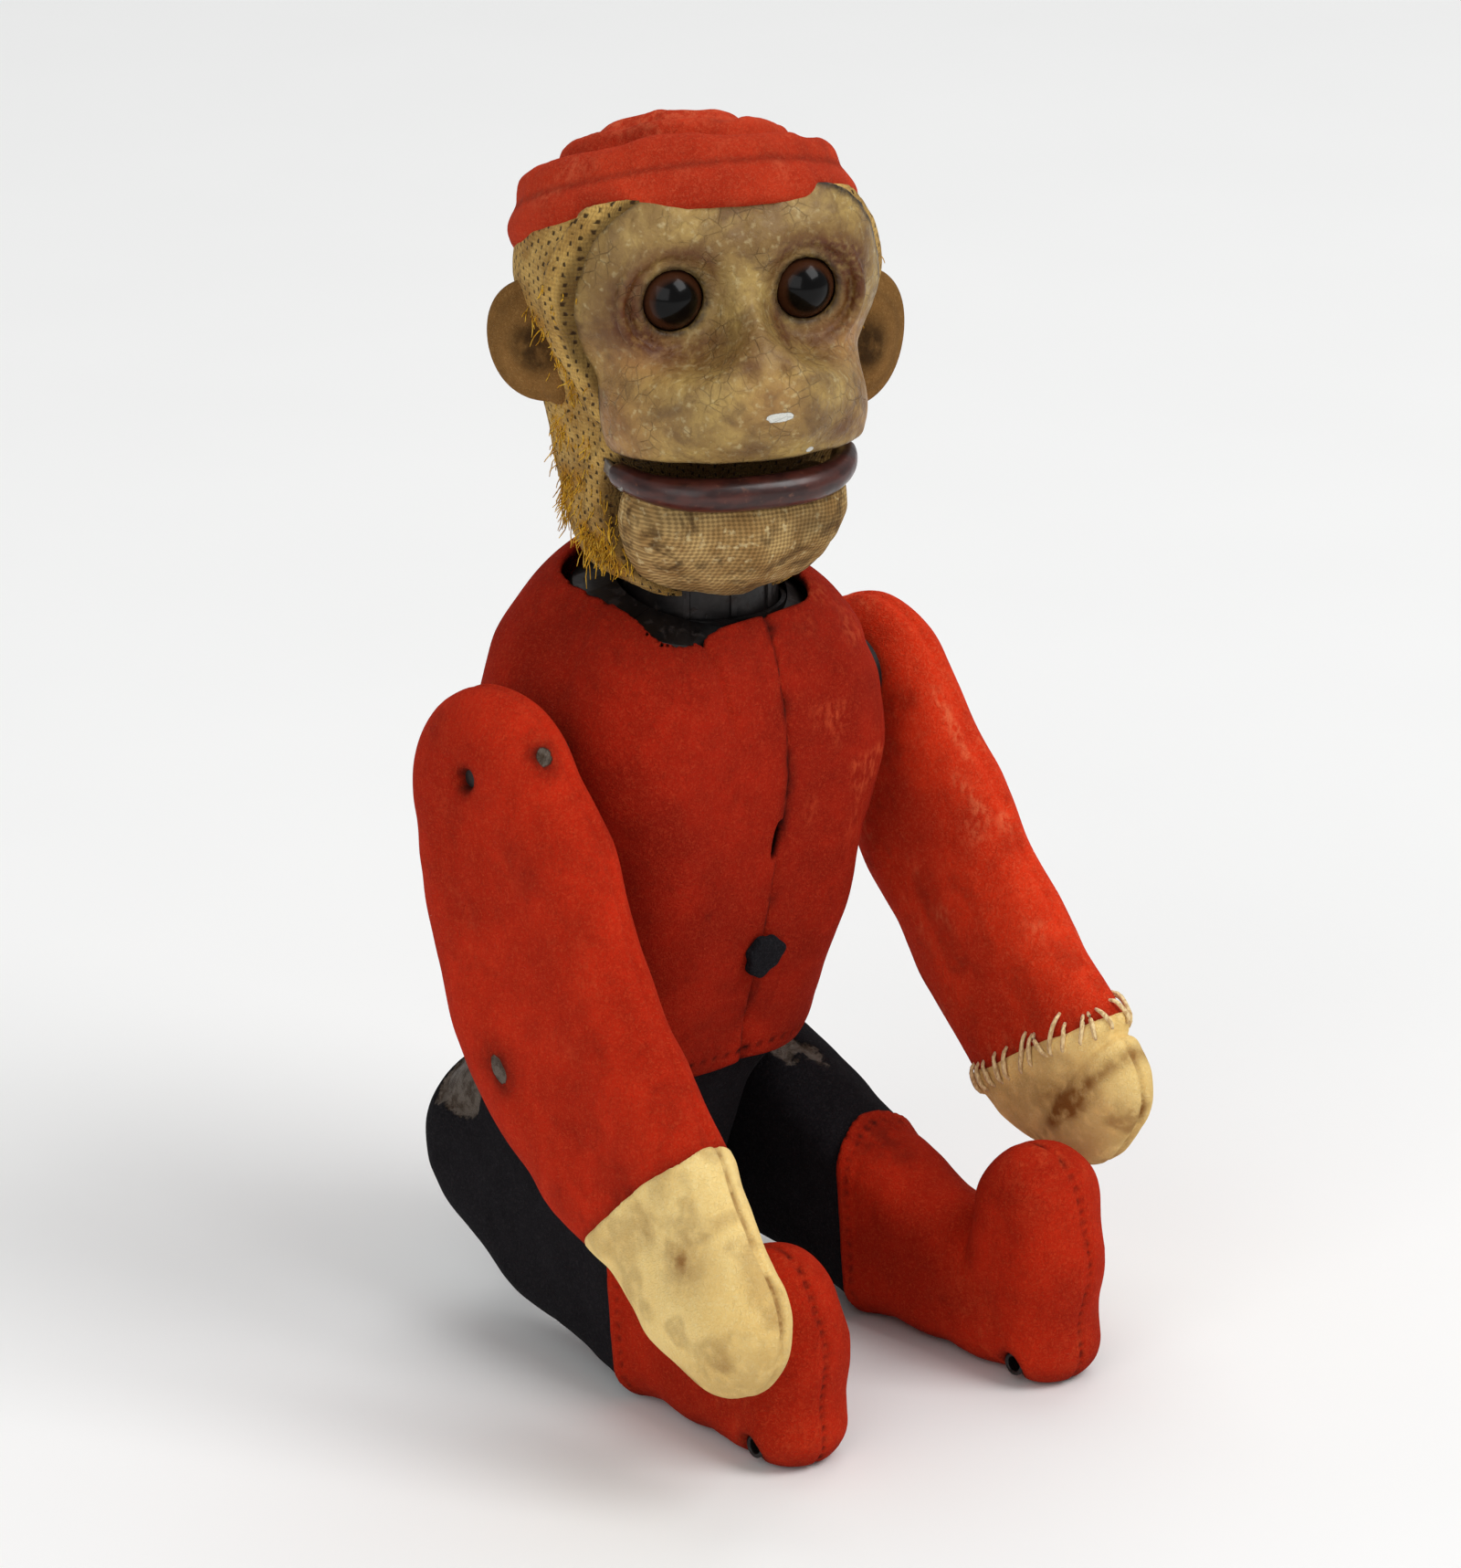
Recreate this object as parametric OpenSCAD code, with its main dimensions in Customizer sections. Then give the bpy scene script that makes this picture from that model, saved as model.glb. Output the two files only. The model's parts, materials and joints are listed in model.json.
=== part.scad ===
// Jointed clockwork monkey, felt over tin, seated. Millimetres. +Z up, the toy faces -Y, +X is its left.
// The origin is the middle of the flat underside of the seat.

/* [Arms] */
// height of the arm shaft above the seat
shaft_z = 75; // [70:0.5:80]
// arm shaft, front to back
shaft_y = -14; // [-18:0.5:-10]
// centre plane of each arm from the middle
arm_x = 31.2; // [30.8:0.1:33]
// swing of the right arm forward of straight down
right_arm_swing = 36.5; // [20:0.5:60]
// swing of the left arm forward of straight down
left_arm_swing = 33; // [20:0.5:60]
// thickness of an arm over its felt
arm_t = 10; // [8:0.2:10]

/* [Legs] */
// height of the hip rod
hip_z = 21.8; // [20:0.1:24]
// centre plane of each leg at the hip
hip_x = 16.9; // [16.8:0.1:18]
// outward splay of each leg
leg_splay = 2; // [0:0.5:3]
// thickness of a leg over its felt
leg_t = 13; // [10:0.5:13]

/* [Head] */
// turn of the head to the toy's right
head_turn = 23; // [0:1:30]
// neck axis, front to back
neck_y = -14; // [-16:0.5:-12]

/* [Materials] */
// thickness of the felt
felt = 1.1; // [0.8:0.1:1.2]
// thickness of the pressed tin
tin = 0.5; // [0.3:0.1:0.6]

/* [Clockwork] */
// tooth size of the first pair of gears
module_a = 0.45; // [0.45:0.01:0.46]
// tooth size of the other gears
module_b = 0.4; // [0.4:0.01:0.41]
// radius of the arm shaft
shaft_r = 2; // [1.5:0.1:2]

/* [Hidden] */
under = felt + 0.1;
plate_x = 12.2;
plate_t = 0.8;
arbor_r = 0.8;
run_fit = 0.05;
// height of the pin on which the head nods
nod_z = 100;
// jaw pins in the head's own frame: front to back, height
jaw_at = [-4.4, 109.2];
great_teeth = 48;
second_pinion_teeth = 12;
second_teeth = 40;
third_pinion_teeth = 10;
third_teeth = 36;
fly_pinion_teeth = 9;
dist_a = (great_teeth + second_pinion_teeth) / 2 * module_a;
dist_b = (second_teeth + third_pinion_teeth) / 2 * module_b;
dist_c = (third_teeth + fly_pinion_teeth) / 2 * module_b;
// direction of each gear centre from the one before, in degrees from +Y towards +Z
way_a = -75;
way_b = -78;
way_c = -67;
function step_from(p, dist, way) = [p[0] + dist * cos(way), p[1] + dist * sin(way)];
great_at = [shaft_y, shaft_z];
second_at = step_from(great_at, dist_a, way_a);
third_at = step_from(second_at, dist_b, way_b);
fly_at = step_from(third_at, dist_c, way_c);
pillar_at = [[-22.2, 65.2], [-5.8, 84.9], [-18.5, 53], [1.2, 55]];

// torso sections: height, half width, half depth, corner radius, middle (front to back), tilt
torso_rings = [
    [0, 7.5, 8.5, 6, 1, 0],
    [8, 9.2, 11.5, 7.5, 0.8, 0],
    [30, 9.8, 15.4, 8.5, -2.6, 3],
    [37.5, 15.4, 16, 10, -4.9, 5],
    [52, 18.5, 16.4, 10.5, -8.3, 8],
    [73, 23.1, 16, 10.5, -11.4, 10],
    [82, 20.8, 15, 10.5, -12.6, 13],
    [90, 15, 12.5, 10, -13.2, 13],
    [93, 10.5, 10.5, 9.5, -13.5, 13]
];
top_ring = len(torso_rings) - 1;

// limb stations: distance along the limb, half width, offset to the rear
right_arm_stations = [[2, 12.6, 1.2], [14, 14.2, 4], [30, 14.6, 6.8], [44, 12.6, 4.4], [66.6, 8.9, -0.2]];
left_arm_stations = [[4, 12, 4], [20, 12.9, 3.8], [36, 12.5, 2.5], [48, 12.1, 0.2], [56.5, 6.2, -0.8], [55.8, 6.1, -7.2]];
right_wrist = 51;
left_wrist = 47.5;
// leg stations at rest: distance forward of the hip, height above the floor, half height
leg_thigh = [[0, 21.8, 12.4], [10, 17.2, 12.7], [27, 11, 10.6]];
leg_shank = [[27, 11, 10.6], [38, 8.8, 8.6], [46.5, 7.4, 7.4]];
right_foot = [[48.9, 6.6, 6.6], [48.4, 13, 7.6], [47.4, 17.8, 7]];
left_foot = [[51.8, 6.6, 6.6], [51.6, 14, 7.7], [51.4, 21.2, 7.2]];
// middle of the heel rivets: distance forward of the hip, height
right_heel = [48.6, 3.9];
left_heel = [51.6, 3.9];
function heel(s) = s < 0 ? right_heel : left_heel;
boot_from = 25.6;

red = [0.72, 0.13, 0.08];
black = [0.06, 0.06, 0.07];
cream = [0.85, 0.78, 0.6];
tinned = [0.55, 0.54, 0.52];
brassy = [0.72, 0.58, 0.3];
dark = [0.2, 0.2, 0.21];
tan_c = [0.7, 0.6, 0.42];

// ---- helpers ----

// cylinder along +X from x0 to x1
module rod_x(x0, x1, r, fn = 32) {
    translate([x0, 0, 0]) rotate([0, 90, 0]) cylinder(r = r, h = x1 - x0, $fn = fn);
}

module at_yz(p) {
    translate([0, p[0], p[1]]) children();
}

module round_rect(a, b, r) {
    square([2 * a, 2 * (b - r)], center = true);
    square([2 * (a - r), 2 * b], center = true);
    for (x = [-1, 1], y = [-1, 1]) translate([x * (a - r), y * (b - r)]) circle(r = r, $fn = 24);
}

module torso_ring(i, d) {
    s = torso_rings[i];
    lift = i == 0 ? d : (i == top_ring ? -d : 0);
    translate([0, s[4], s[0] + lift]) rotate([s[5], 0, 0])
        linear_extrude(height = 0.01) round_rect(s[1] - d, s[2] - d, s[3] - d);
}

module torso_upper(d) {
    hull() for (i = [3:top_ring]) torso_ring(i, d);
}

module torso_lower(d) {
    hull() for (i = [0:2]) torso_ring(i, d);
    hull() for (i = [2:3]) torso_ring(i, d);
}

module torso_form(d) {
    torso_upper(d);
    torso_lower(d);
}

// everything behind the seam between the two torso pressings
module behind_seam(gap) {
    translate([0, -6 + gap, 45]) rotate([13, 0, 0]) translate([-40, 0, -80]) cube([80, 60, 160]);
}

module above_hem(z) {
    s = torso_rings[3];
    translate([0, s[4], s[0] + z]) rotate([s[5], 0, 0]) translate([-40, -40, 0]) cube([80, 80, 90]);
}

module side_holes(r) {
    translate([-40, shaft_y, shaft_z]) rotate([0, 90, 0]) cylinder(r = r, h = 80, $fn = 32);
}

module hip_hole(r) {
    translate([-40, 0, hip_z]) rotate([0, 90, 0]) cylinder(r = r, h = 80, $fn = 32);
}

// gear in the YZ plane from x0 to x1; point_to is the angle at which a tooth is centred
module gear(teeth, m, x0, x1, bore, point_to) {
    rp = teeth * m / 2;
    ra = rp + 0.85 * m;
    rf = rp - 1.15 * m;
    p = 360 / teeth;
    pts = [for (i = [0:teeth - 1]) for (q = [[rf, -0.27], [rp, -0.19], [ra, -0.09], [ra, 0.09], [rp, 0.19],
        [rf, 0.27]]) [q[0] * cos(point_to + (i + q[1]) * p), q[0] * sin(point_to + (i + q[1]) * p)]];
    translate([x0, 0, 0]) rotate([90, 0, 90]) linear_extrude(height = x1 - x0) difference() {
        polygon(pts);
        circle(r = bore, $fn = 32);
    }
}

// ---- torso ----

module torso_front_shell() {
    color(tinned) difference() {
        torso_form(under);
        torso_form(under + tin);
        behind_seam(-0.03);
        translate([0, neck_y, 80]) cylinder(r = 10.05, h = 30, $fn = 48);
        side_holes(3.06);
        hip_hole(1.55);
    }
}

module torso_back_shell() {
    color(tinned) intersection() {
        difference() {
            torso_form(under);
            torso_form(under + tin);
            translate([0, neck_y, 80]) cylinder(r = 10.05, h = 30, $fn = 48);
            side_holes(3.06);
            hip_hole(1.55);
        }
        behind_seam(0.03);
    }
}

module seat_plate() {
    color(tinned) translate([0, 1, under + tin + 0.1]) linear_extrude(height = 0.8) difference() {
        round_rect(5.4, 6.4, 3.6);
        circle(r = 1.5, $fn = 24);
    }
}

module jacket() {
    color(red) difference() {
        intersection() {
            torso_upper(0);
            above_hem(0.1);
        }
        torso_form(felt);
        translate([0, neck_y - 0.3, 80]) cylinder(r = 11, h = 30, $fn = 48);
        side_holes(3.3);
    }
}

module jacket_button() {
    color(black) translate([0, -24.5, 48.8]) rotate([105.6, 0, 0]) cylinder(r = 2.7, h = 1.2, $fn = 32);
}

module trousers_seat() {
    color(black) difference() {
        torso_lower(0);
        torso_form(felt);
        above_hem(-0.1);
        hip_hole(1.8);
    }
}

module neck_collar() {
    color(dark) translate([0, neck_y, 0]) {
        translate([0, 0, 87]) difference() {
            cylinder(r = 9.9, h = 2.6, $fn = 48);
            translate([0, 0, 0.8]) cylinder(r = 9.35, h = 3, $fn = 48);
        }
        translate([0, 0, 87.4]) cylinder(r = 2.5, h = 7.8, $fn = 32);
        translate([0, 0, 95.2]) cylinder(r = 3.6, h = 0.9, $fn = 32);
    }
}

module shaft_bush() {
    difference() {
        union() {
            rod_x(plate_x + plate_t + 0.05, 24.4, 3);
            rod_x(23.35, 24.4, 4.6);
        }
        rod_x(0, 30, shaft_r + run_fit);
    }
}

module shaft_bush_right() {
    color(brassy) at_yz(great_at) mirror([1, 0, 0]) shaft_bush();
}

module shaft_bush_left() {
    color(brassy) at_yz(great_at) shaft_bush();
}

module motor_plate(x0) {
    difference() {
        hull() {
            at_yz(great_at) rod_x(x0, x0 + plate_t, 7);
            for (p = pillar_at) at_yz(p) rod_x(x0, x0 + plate_t, 2.1);
            at_yz(fly_at) rod_x(x0, x0 + plate_t, 2.6);
        }
        at_yz(great_at) rod_x(x0 - 1, x0 + 2, shaft_r + run_fit);
        for (p = [second_at, third_at, fly_at]) at_yz(p) rod_x(x0 - 1, x0 + 2, arbor_r + run_fit);
        for (p = pillar_at) at_yz(p) rod_x(x0 - 1, x0 + 2, 0.72);
    }
}

module motor_plate_right() {
    color(brassy) motor_plate(-plate_x - plate_t);
}

module motor_plate_left() {
    color(brassy) motor_plate(plate_x);
}

module motor_pillars() {
    color(tinned) for (p = pillar_at) at_yz(p) {
        rod_x(-plate_x + 0.02, plate_x - 0.02, 1.2);
        rod_x(-plate_x - plate_t - 0.4, plate_x + plate_t + 0.4, 0.7, 24);
    }
}

module mainspring() {
    turns = 6;
    steps = 24;
    r0 = 2.9;
    pitch = 0.92;
    wire = 0.3;
    function spiral(i, off) = let (a = 90 + i * 360 / steps, r = r0 + pitch * i / steps + off)
        [r * cos(a), r * sin(a)];
    n = turns * steps - 4;
    path = concat([for (i = [0:n]) spiral(i, wire)], [[7.2, 9.1], [6.9, 9]],
        [for (i = [n:-1:0]) spiral(i, 0)]);
    color([0.3, 0.32, 0.4]) at_yz(great_at) translate([-11.4, 0, 0]) rotate([90, 0, 90])
        linear_extrude(height = 8) polygon(path);
}

module hip_rod() {
    color(tinned) translate([0, 0, hip_z]) rod_x(-21, 21, 1.5);
}

module hip_caps() {
    color(tinned) translate([0, 0, hip_z]) for (s = [0, 1]) mirror([s, 0, 0]) difference() {
        rod_x(19.4, 20.8, 2.6);
        rod_x(19, 22, 1.52);
    }
}

// ---- arms ----

// lens-shaped limb in the YZ plane, pointing down; d is the depth below the felt surface
module arm_form(stations, d) {
    half = arm_t / 2 - d;
    hull() for (s = stations) translate([0, s[2], -s[0]]) {
        rod_x(-half, half, s[1] - d - 4.2, 26);
        rod_x(-half * 0.42, half * 0.42, s[1] - d, 26);
    }
}

module right_arm_place() {
    translate([-arm_x, shaft_y, shaft_z]) rotate([-right_arm_swing, 0, 0]) children();
}

module left_arm_place() {
    translate([arm_x, shaft_y, shaft_z]) rotate([-left_arm_swing, 0, 0]) children();
}

module below(z) {
    translate([-20, -30, -z - 80]) cube([40, 60, 80]);
}

module arm_core(stations) {
    difference() {
        arm_form(stations, under);
        arm_form(stations, under + tin);
        rod_x(-20, 20, shaft_r + 0.03);
    }
}

module sleeve(stations, wrist) {
    difference() {
        arm_form(stations, 0);
        arm_form(stations, felt);
        below(wrist);
        rod_x(-20, 20, 2.6);
    }
}

module hand(stations, wrist) {
    difference() {
        intersection() {
            arm_form(stations, 0);
            below(wrist + 0.1);
        }
        arm_form(stations, felt);
    }
}

module arm_hub() {
    difference() {
        union() {
            rod_x(-1.3, -0.1, 4.4);
            rod_x(-2, 1.2, 2.9);
        }
        rod_x(-10, 10, shaft_r + 0.02);
    }
}

module arm_shaft() {
    color(tinned) at_yz(great_at) rod_x(-arm_x - 3, arm_x + 3, shaft_r);
}

module ratchet_wheel() {
    n = 14;
    pts = [for (i = [0:n - 1]) for (q = [[5.2, 0], [4.2, 0.04]]) let (a = (i + q[1]) * 360 / n)
        [q[0] * cos(a), q[0] * sin(a)]];
    color(tinned) at_yz(great_at) translate([-2.6, 0, 0]) rotate([90, 0, 90]) linear_extrude(height = 1)
        difference() {
            polygon(pts);
            circle(r = shaft_r + 0.02, $fn = 32);
        }
}

module arm_core_right() {
    color(tinned) right_arm_place() arm_core(right_arm_stations);
}

module arm_core_left() {
    color(tinned) left_arm_place() arm_core(left_arm_stations);
}

module arm_hub_right() {
    color(tinned) right_arm_place() mirror([1, 0, 0]) arm_hub();
}

module arm_hub_left() {
    color(tinned) left_arm_place() arm_hub();
}

module sleeve_right() {
    color(red) right_arm_place() sleeve(right_arm_stations, right_wrist);
}

module sleeve_left() {
    color(red) left_arm_place() sleeve(left_arm_stations, left_wrist);
}

module hand_right() {
    color(cream) right_arm_place() hand(right_arm_stations, right_wrist);
}

module hand_left() {
    color(cream) left_arm_place() hand(left_arm_stations, left_wrist);
}

// whip stitches across the flat faces of the left wrist
module wrist_stitches() {
    color(cream) left_arm_place() for (i = [-3:3]) for (s = [-1, 1])
        translate([s * (arm_t / 2 + 0.2), 1.2 + i * 1.6, -left_wrist - 1.6]) rotate([s * 14, 0, 0])
            cylinder(r = 0.16, h = 3.4, $fn = 16);
}

// ---- clockwork ----

module great_wheel() {
    color(brassy) at_yz(great_at) difference() {
        union() {
            gear(great_teeth, module_a, -1.1, 0.2, shaft_r + run_fit, way_a);
            rod_x(0.2, 2.4, 3.4);
            translate([0, -8, 0]) rod_x(-2.4, -1, 0.7, 24);
        }
        rod_x(-3, 5, shaft_r + run_fit);
        for (a = [20, 140, 260]) rotate([a, 0, 0]) translate([0, 6.3, 0]) rod_x(-3, 1, 1.7);
    }
}

// pawl on the great wheel, its nose in a tooth gap of the ratchet
module click() {
    color(tinned) at_yz(great_at) translate([-2.4, -8, 0]) rotate([90, 0, 90]) linear_extrude(height = 0.9)
        difference() {
            union() {
                circle(r = 1.5, $fn = 24);
                polygon([[-1.3, 0.7], [1.2, 0.4], [3.15, 0.95], [2.6, 2], [1, 2.4], [-0.9, 1.6]]);
            }
            circle(r = 0.75, $fn = 24);
        }
}

module click_spring() {
    color(tinned) at_yz(great_at) translate([-2.3, 0, 0]) rotate([90, 0, 90]) linear_extrude(height = 0.9)
        polygon([[-4.9, 7.3], [-4.4, 7.1], [-6.65, 2.7], [-7, 2.85]]);
    color(tinned) at_yz(great_at) translate([0, -4.5, 7.5]) rod_x(-2.3, -1.12, 0.5, 24);
}

module arbor(at) {
    at_yz(at) rod_x(-plate_x - plate_t - 0.5, plate_x + plate_t + 0.5, arbor_r);
}

module pinion_arbor(at, teeth, m, x0, x1, point_to) {
    arbor(at);
    at_yz(at) gear(teeth, m, x0, x1, 0.3, point_to);
}

module second_arbor() {
    color(tinned) pinion_arbor(second_at, second_pinion_teeth, module_a, -1.6, 0.9,
        way_a + 180 + 180 / second_pinion_teeth);
}

module second_wheel() {
    color(brassy) at_yz(second_at) gear(second_teeth, module_b, 4, 5, arbor_r + 0.02, way_b);
}

module third_arbor() {
    color(tinned) pinion_arbor(third_at, third_pinion_teeth, module_b, 3.4, 5.6,
        way_b + 180 + 180 / third_pinion_teeth);
}

module third_wheel() {
    color(brassy) at_yz(third_at) gear(third_teeth, module_b, -7, -6, arbor_r + 0.02, way_c);
}

module governor_arbor() {
    color(tinned) pinion_arbor(fly_at, fly_pinion_teeth, module_b, -7.6, -5.4,
        way_c + 180 + 180 / fly_pinion_teeth);
}

module governor_fly() {
    color(brassy) at_yz(fly_at) difference() {
        union() {
            rod_x(1.5, 8.5, 1.5);
            translate([2, -5, -0.25]) cube([6, 10, 0.5]);
        }
        rod_x(0, 10, arbor_r + 0.02);
    }
}

// ---- neck and head, in the head's own frame ----

module head_place() {
    translate([0, neck_y, 0]) rotate([0, 0, -head_turn]) children();
}

module neck_drum() {
    color(dark) head_place() {
        difference() {
            translate([0, 0, 88.2]) cylinder(r = 9, h = 6.4, $fn = 48);
            translate([0, 0, 87]) cylinder(r = 8.5, h = 6.8, $fn = 48);
            translate([0, 0, 90]) cylinder(r = 2.56, h = 10, $fn = 32);
        }
        for (a = [-118, -84, -50]) rotate([0, 0, a]) translate([8.8, -0.35, 89.8]) cube([0.5, 0.7, 4.8]);
    }
}

module neck_fork() {
    color(dark) head_place() for (s = [0, 1]) mirror([s, 0, 0]) difference() {
        union() {
            translate([4.4, -3, 94.65]) cube([3.4, 6, 0.8]);
            translate([6.8, -3, 94.65]) cube([1, 6, 5.6]);
            translate([6.8, 0, nod_z]) rotate([0, 90, 0]) cylinder(r = 3, h = 1, $fn = 32);
        }
        translate([5, 0, nod_z]) rotate([0, 90, 0]) cylinder(r = 1.25, h = 5, $fn = 32);
    }
}

module nod_pin() {
    color(tinned) head_place() translate([0, 0, nod_z]) rod_x(-12.4, 12.4, 1.2);
}

module skull_form(d) {
    hull() {
        translate([0, 3, 126.5]) sphere(r = 20 - d, $fn = 26);
        translate([0, 0.5, 102.6]) sphere(r = 14.2 - d, $fn = 26);
    }
}

// room for the mask, the jaw, the neck and the sloping underside
module head_cuts(front) {
    translate([-30, -40, 109.5]) cube([60, 40 + front, 50]);
    translate([-15.6, -30, 80]) cube([31.2, 30 + front, 31]);
    translate([0, 0, 60]) cylinder(r = 10.6, h = 37, $fn = 48);
    translate([0, 0, 95.3]) rotate([17, 0, 0]) translate([-40, -40, -30]) cube([80, 80, 30]);
}

module skull_shell() {
    color(tinned) head_place() difference() {
        skull_form(1.1);
        skull_form(1.7);
        head_cuts(-6);
        translate([0, 0, nod_z]) rod_x(-30, 30, 1.22);
        at_yz(jaw_at) rod_x(-30, 30, 0.72);
    }
}

module head_plush() {
    color(tan_c) head_place() difference() {
        skull_form(-0.9);
        skull_form(1.05);
        head_cuts(-8.2);
        cap_space(0.05);
        // the open corners of the mouth, where the jaw is pinned
        translate([-30, -30, 106.9]) cube([60, 27.8, 4.6]);
    }
}

// everything above the sloping plane on which the cap sits
module cap_space(d) {
    translate([0, 2, 132.4 - d]) rotate([-24, 0, 0]) translate([-40, -40, 0]) cube([80, 80, 40]);
}

module cap() {
    color(red) head_place() intersection() {
        difference() {
            translate([0, 2.6, 132.4]) rotate([-24, 0, 0]) rotate_extrude($fn = 64)
                polygon([[0, -4], [19.4, -4], [19.4, 0], [20.2, 1.2], [20.3, 2.7], [19.6, 4], [18.6, 4.6],
                    [18.6, 5.8], [17.8, 7.2], [16.2, 8], [14.2, 9.4], [10.8, 10.9], [6.6, 12], [0, 12.6]]);
            skull_form(1.05);
            face_form(-0.3);
        }
        cap_space(0);
    }
}

module face_form(d) {
    hull() for (s = [-1, 1]) {
        translate([s * 7.4, -4.4, 128.8]) sphere(r = 11.6 - d, $fn = 20);
        translate([s * 6.6, -5, 135]) sphere(r = 9.6 - d, $fn = 20);
        translate([s * 6, -6, 121]) sphere(r = 10 - d, $fn = 20);
    }
    hull() {
        for (s = [-1, 1]) translate([s * 6.6, -12.2, 115]) sphere(r = 8.3 - d, $fn = 20);
        for (s = [-1, 1]) translate([s * 2.6, -16.8, 119]) sphere(r = 7.6 - d, $fn = 20);
        translate([0, -7.6, 126.8]) sphere(r = 8 - d, $fn = 20);
    }
}

module face_mask() {
    color(tan_c) head_place() difference() {
        face_form(0);
        face_form(0.9);
        translate([-30, -8.4, 80]) cube([60, 60, 90]);
        translate([-30, -60, 80]) cube([60, 100, 31.6]);
        for (s = [-1, 1]) translate([s * 7.75, -9.6, 128.8]) rotate([90, 0, 0]) cylinder(r = 4.35, h = 14, $fn = 32);
    }
}

module eye(s) {
    head_place() translate([s * 7.75, -11.7, 128.8]) sphere(r = 4, $fn = 32);
}

module eye_right() {
    color([0.25, 0.12, 0.06]) eye(-1);
}

module eye_left() {
    color([0.25, 0.12, 0.06]) eye(1);
}

// cupped felt ear, open to the front and side
module ear(s, z, r) {
    head_place() difference() {
        translate([s * 18.6, 1, z]) rotate([0, 0, s * 30]) rotate([90, 0, 0]) rotate_extrude($fn = 48)
            polygon([[0, -2.8], [r * 0.55, -2.5], [r * 0.85, -1.4], [r, 0.4], [r - 1.1, 0.9],
                [r * 0.75, -0.5], [r * 0.5, -1.4], [0, -1.7]]);
        skull_form(-1);
    }
}

module ear_right() {
    color(tan_c) ear(-1, 121.2, 7.4);
}

module ear_left() {
    color(tan_c) ear(1, 118, 7.5);
}

// ---- jaw ----

module jaw_pin() {
    color(tinned) head_place() for (s = [0, 1]) mirror([s, 0, 0]) at_yz(jaw_at) {
        rod_x(13, 16.2, 0.7, 24);
        rod_x(15.6, 16.2, 1.2, 24);
    }
}

module chin_form(d) {
    hull() for (s = [-1, 1]) {
        translate([s * 7.6, -12.6, 104.4]) sphere(r = 6.4 - d, $fn = 20);
        translate([s * 5.4, -8.6, 99.8]) sphere(r = 5.9 - d, $fn = 20);
    }
}

module jaw_trim() {
    translate([-30, -40, 107.4]) cube([60, 60, 20]);
    translate([0, -8.6, 107.4]) rotate([-8, 0, 0]) translate([-30, 0, -30]) cube([60, 40, 60]);
    translate([0, 0, 80]) cylinder(r = 11.6, h = 40, $fn = 48);
}

module jaw_shell() {
    color(tinned) head_place() difference() {
        chin_form(0.8);
        chin_form(1.3);
        jaw_trim();
    }
}

module chin_cloth() {
    color(cream) head_place() difference() {
        chin_form(0);
        chin_form(0.75);
        jaw_trim();
    }
}

module lower_lip() {
    color([0.25, 0.09, 0.08]) head_place() translate([0, -7.2, 108.8]) rotate([0, 0, 190])
        rotate_extrude(angle = 160, $fn = 64) translate([13.2, 0]) circle(r = 1.3, $fn = 24);
}

module jaw_brackets() {
    color(tinned) head_place() for (s = [0, 1]) mirror([s, 0, 0]) difference() {
        union() {
            translate([14.4, -10, 107.9]) cube([1, 3.2, 2.4]);
            translate([14.9, -7.6, 107.9]) cube([0.5, 3.2, 2.4]);
            at_yz(jaw_at) rod_x(14.9, 15.4, 1.5, 24);
        }
        at_yz(jaw_at) rod_x(10, 20, 0.76, 24);
    }
}

// ---- legs ----

module leg_part(stations, d) {
    half = leg_t / 2 - d;
    hull() for (s = stations) translate([0, -s[0], s[1]]) {
        rod_x(-half, half, max(s[2] - d - 4.4, 0.4), 26);
        rod_x(-half * 0.4, half * 0.4, s[2] - d, 26);
    }
}

module leg_form(s, d) {
    leg_part(leg_thigh, d);
    leg_part(leg_shank, d);
    leg_part(s < 0 ? right_foot : left_foot, d);
}

module leg_place(s) {
    translate([s * hip_x, 0, 0]) rotate([0, 0, s * leg_splay]) children();
}

module ahead_of(y) {
    translate([-20, -y - 80, -20]) cube([40, 80, 80]);
}

module leg_core(s) {
    difference() {
        leg_place(s) difference() {
            leg_form(s, under);
            leg_form(s, under + tin);
            translate([-20, -heel(s)[0], heel(s)[1]]) rod_x(0, 40, 2.05);
        }
        hip_hole(1.56);
    }
}

module trouser_leg(s) {
    difference() {
        leg_place(s) difference() {
            leg_part(leg_thigh, 0);
            leg_form(s, felt);
            ahead_of(boot_from - 0.1);
        }
        hip_hole(1.9);
    }
}

module boot(s) {
    leg_place(s) difference() {
        intersection() {
            leg_form(s, 0);
            ahead_of(boot_from + 0.1);
        }
        leg_form(s, felt);
        translate([-20, -heel(s)[0], heel(s)[1]]) rod_x(0, 40, 2.3);
    }
}

module heel_rivet(s) {
    leg_place(s) translate([0, -heel(s)[0], heel(s)[1]]) difference() {
        rod_x(-leg_t / 2 + 1, leg_t / 2 - 1, 2);
        rod_x(-10, 10, 1.3);
    }
}

module leg_core_right() {
    color(tinned) leg_core(-1);
}

module trouser_leg_right() {
    color(black) trouser_leg(-1);
}

module boot_right() {
    color(red) boot(-1);
}

module heel_rivet_right() {
    color(tinned) heel_rivet(-1);
}

module leg_core_left() {
    color(tinned) leg_core(1);
}

module trouser_leg_left() {
    color(black) trouser_leg(1);
}

module boot_left() {
    color(red) boot(1);
}

module heel_rivet_left() {
    color(tinned) heel_rivet(1);
}

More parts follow.
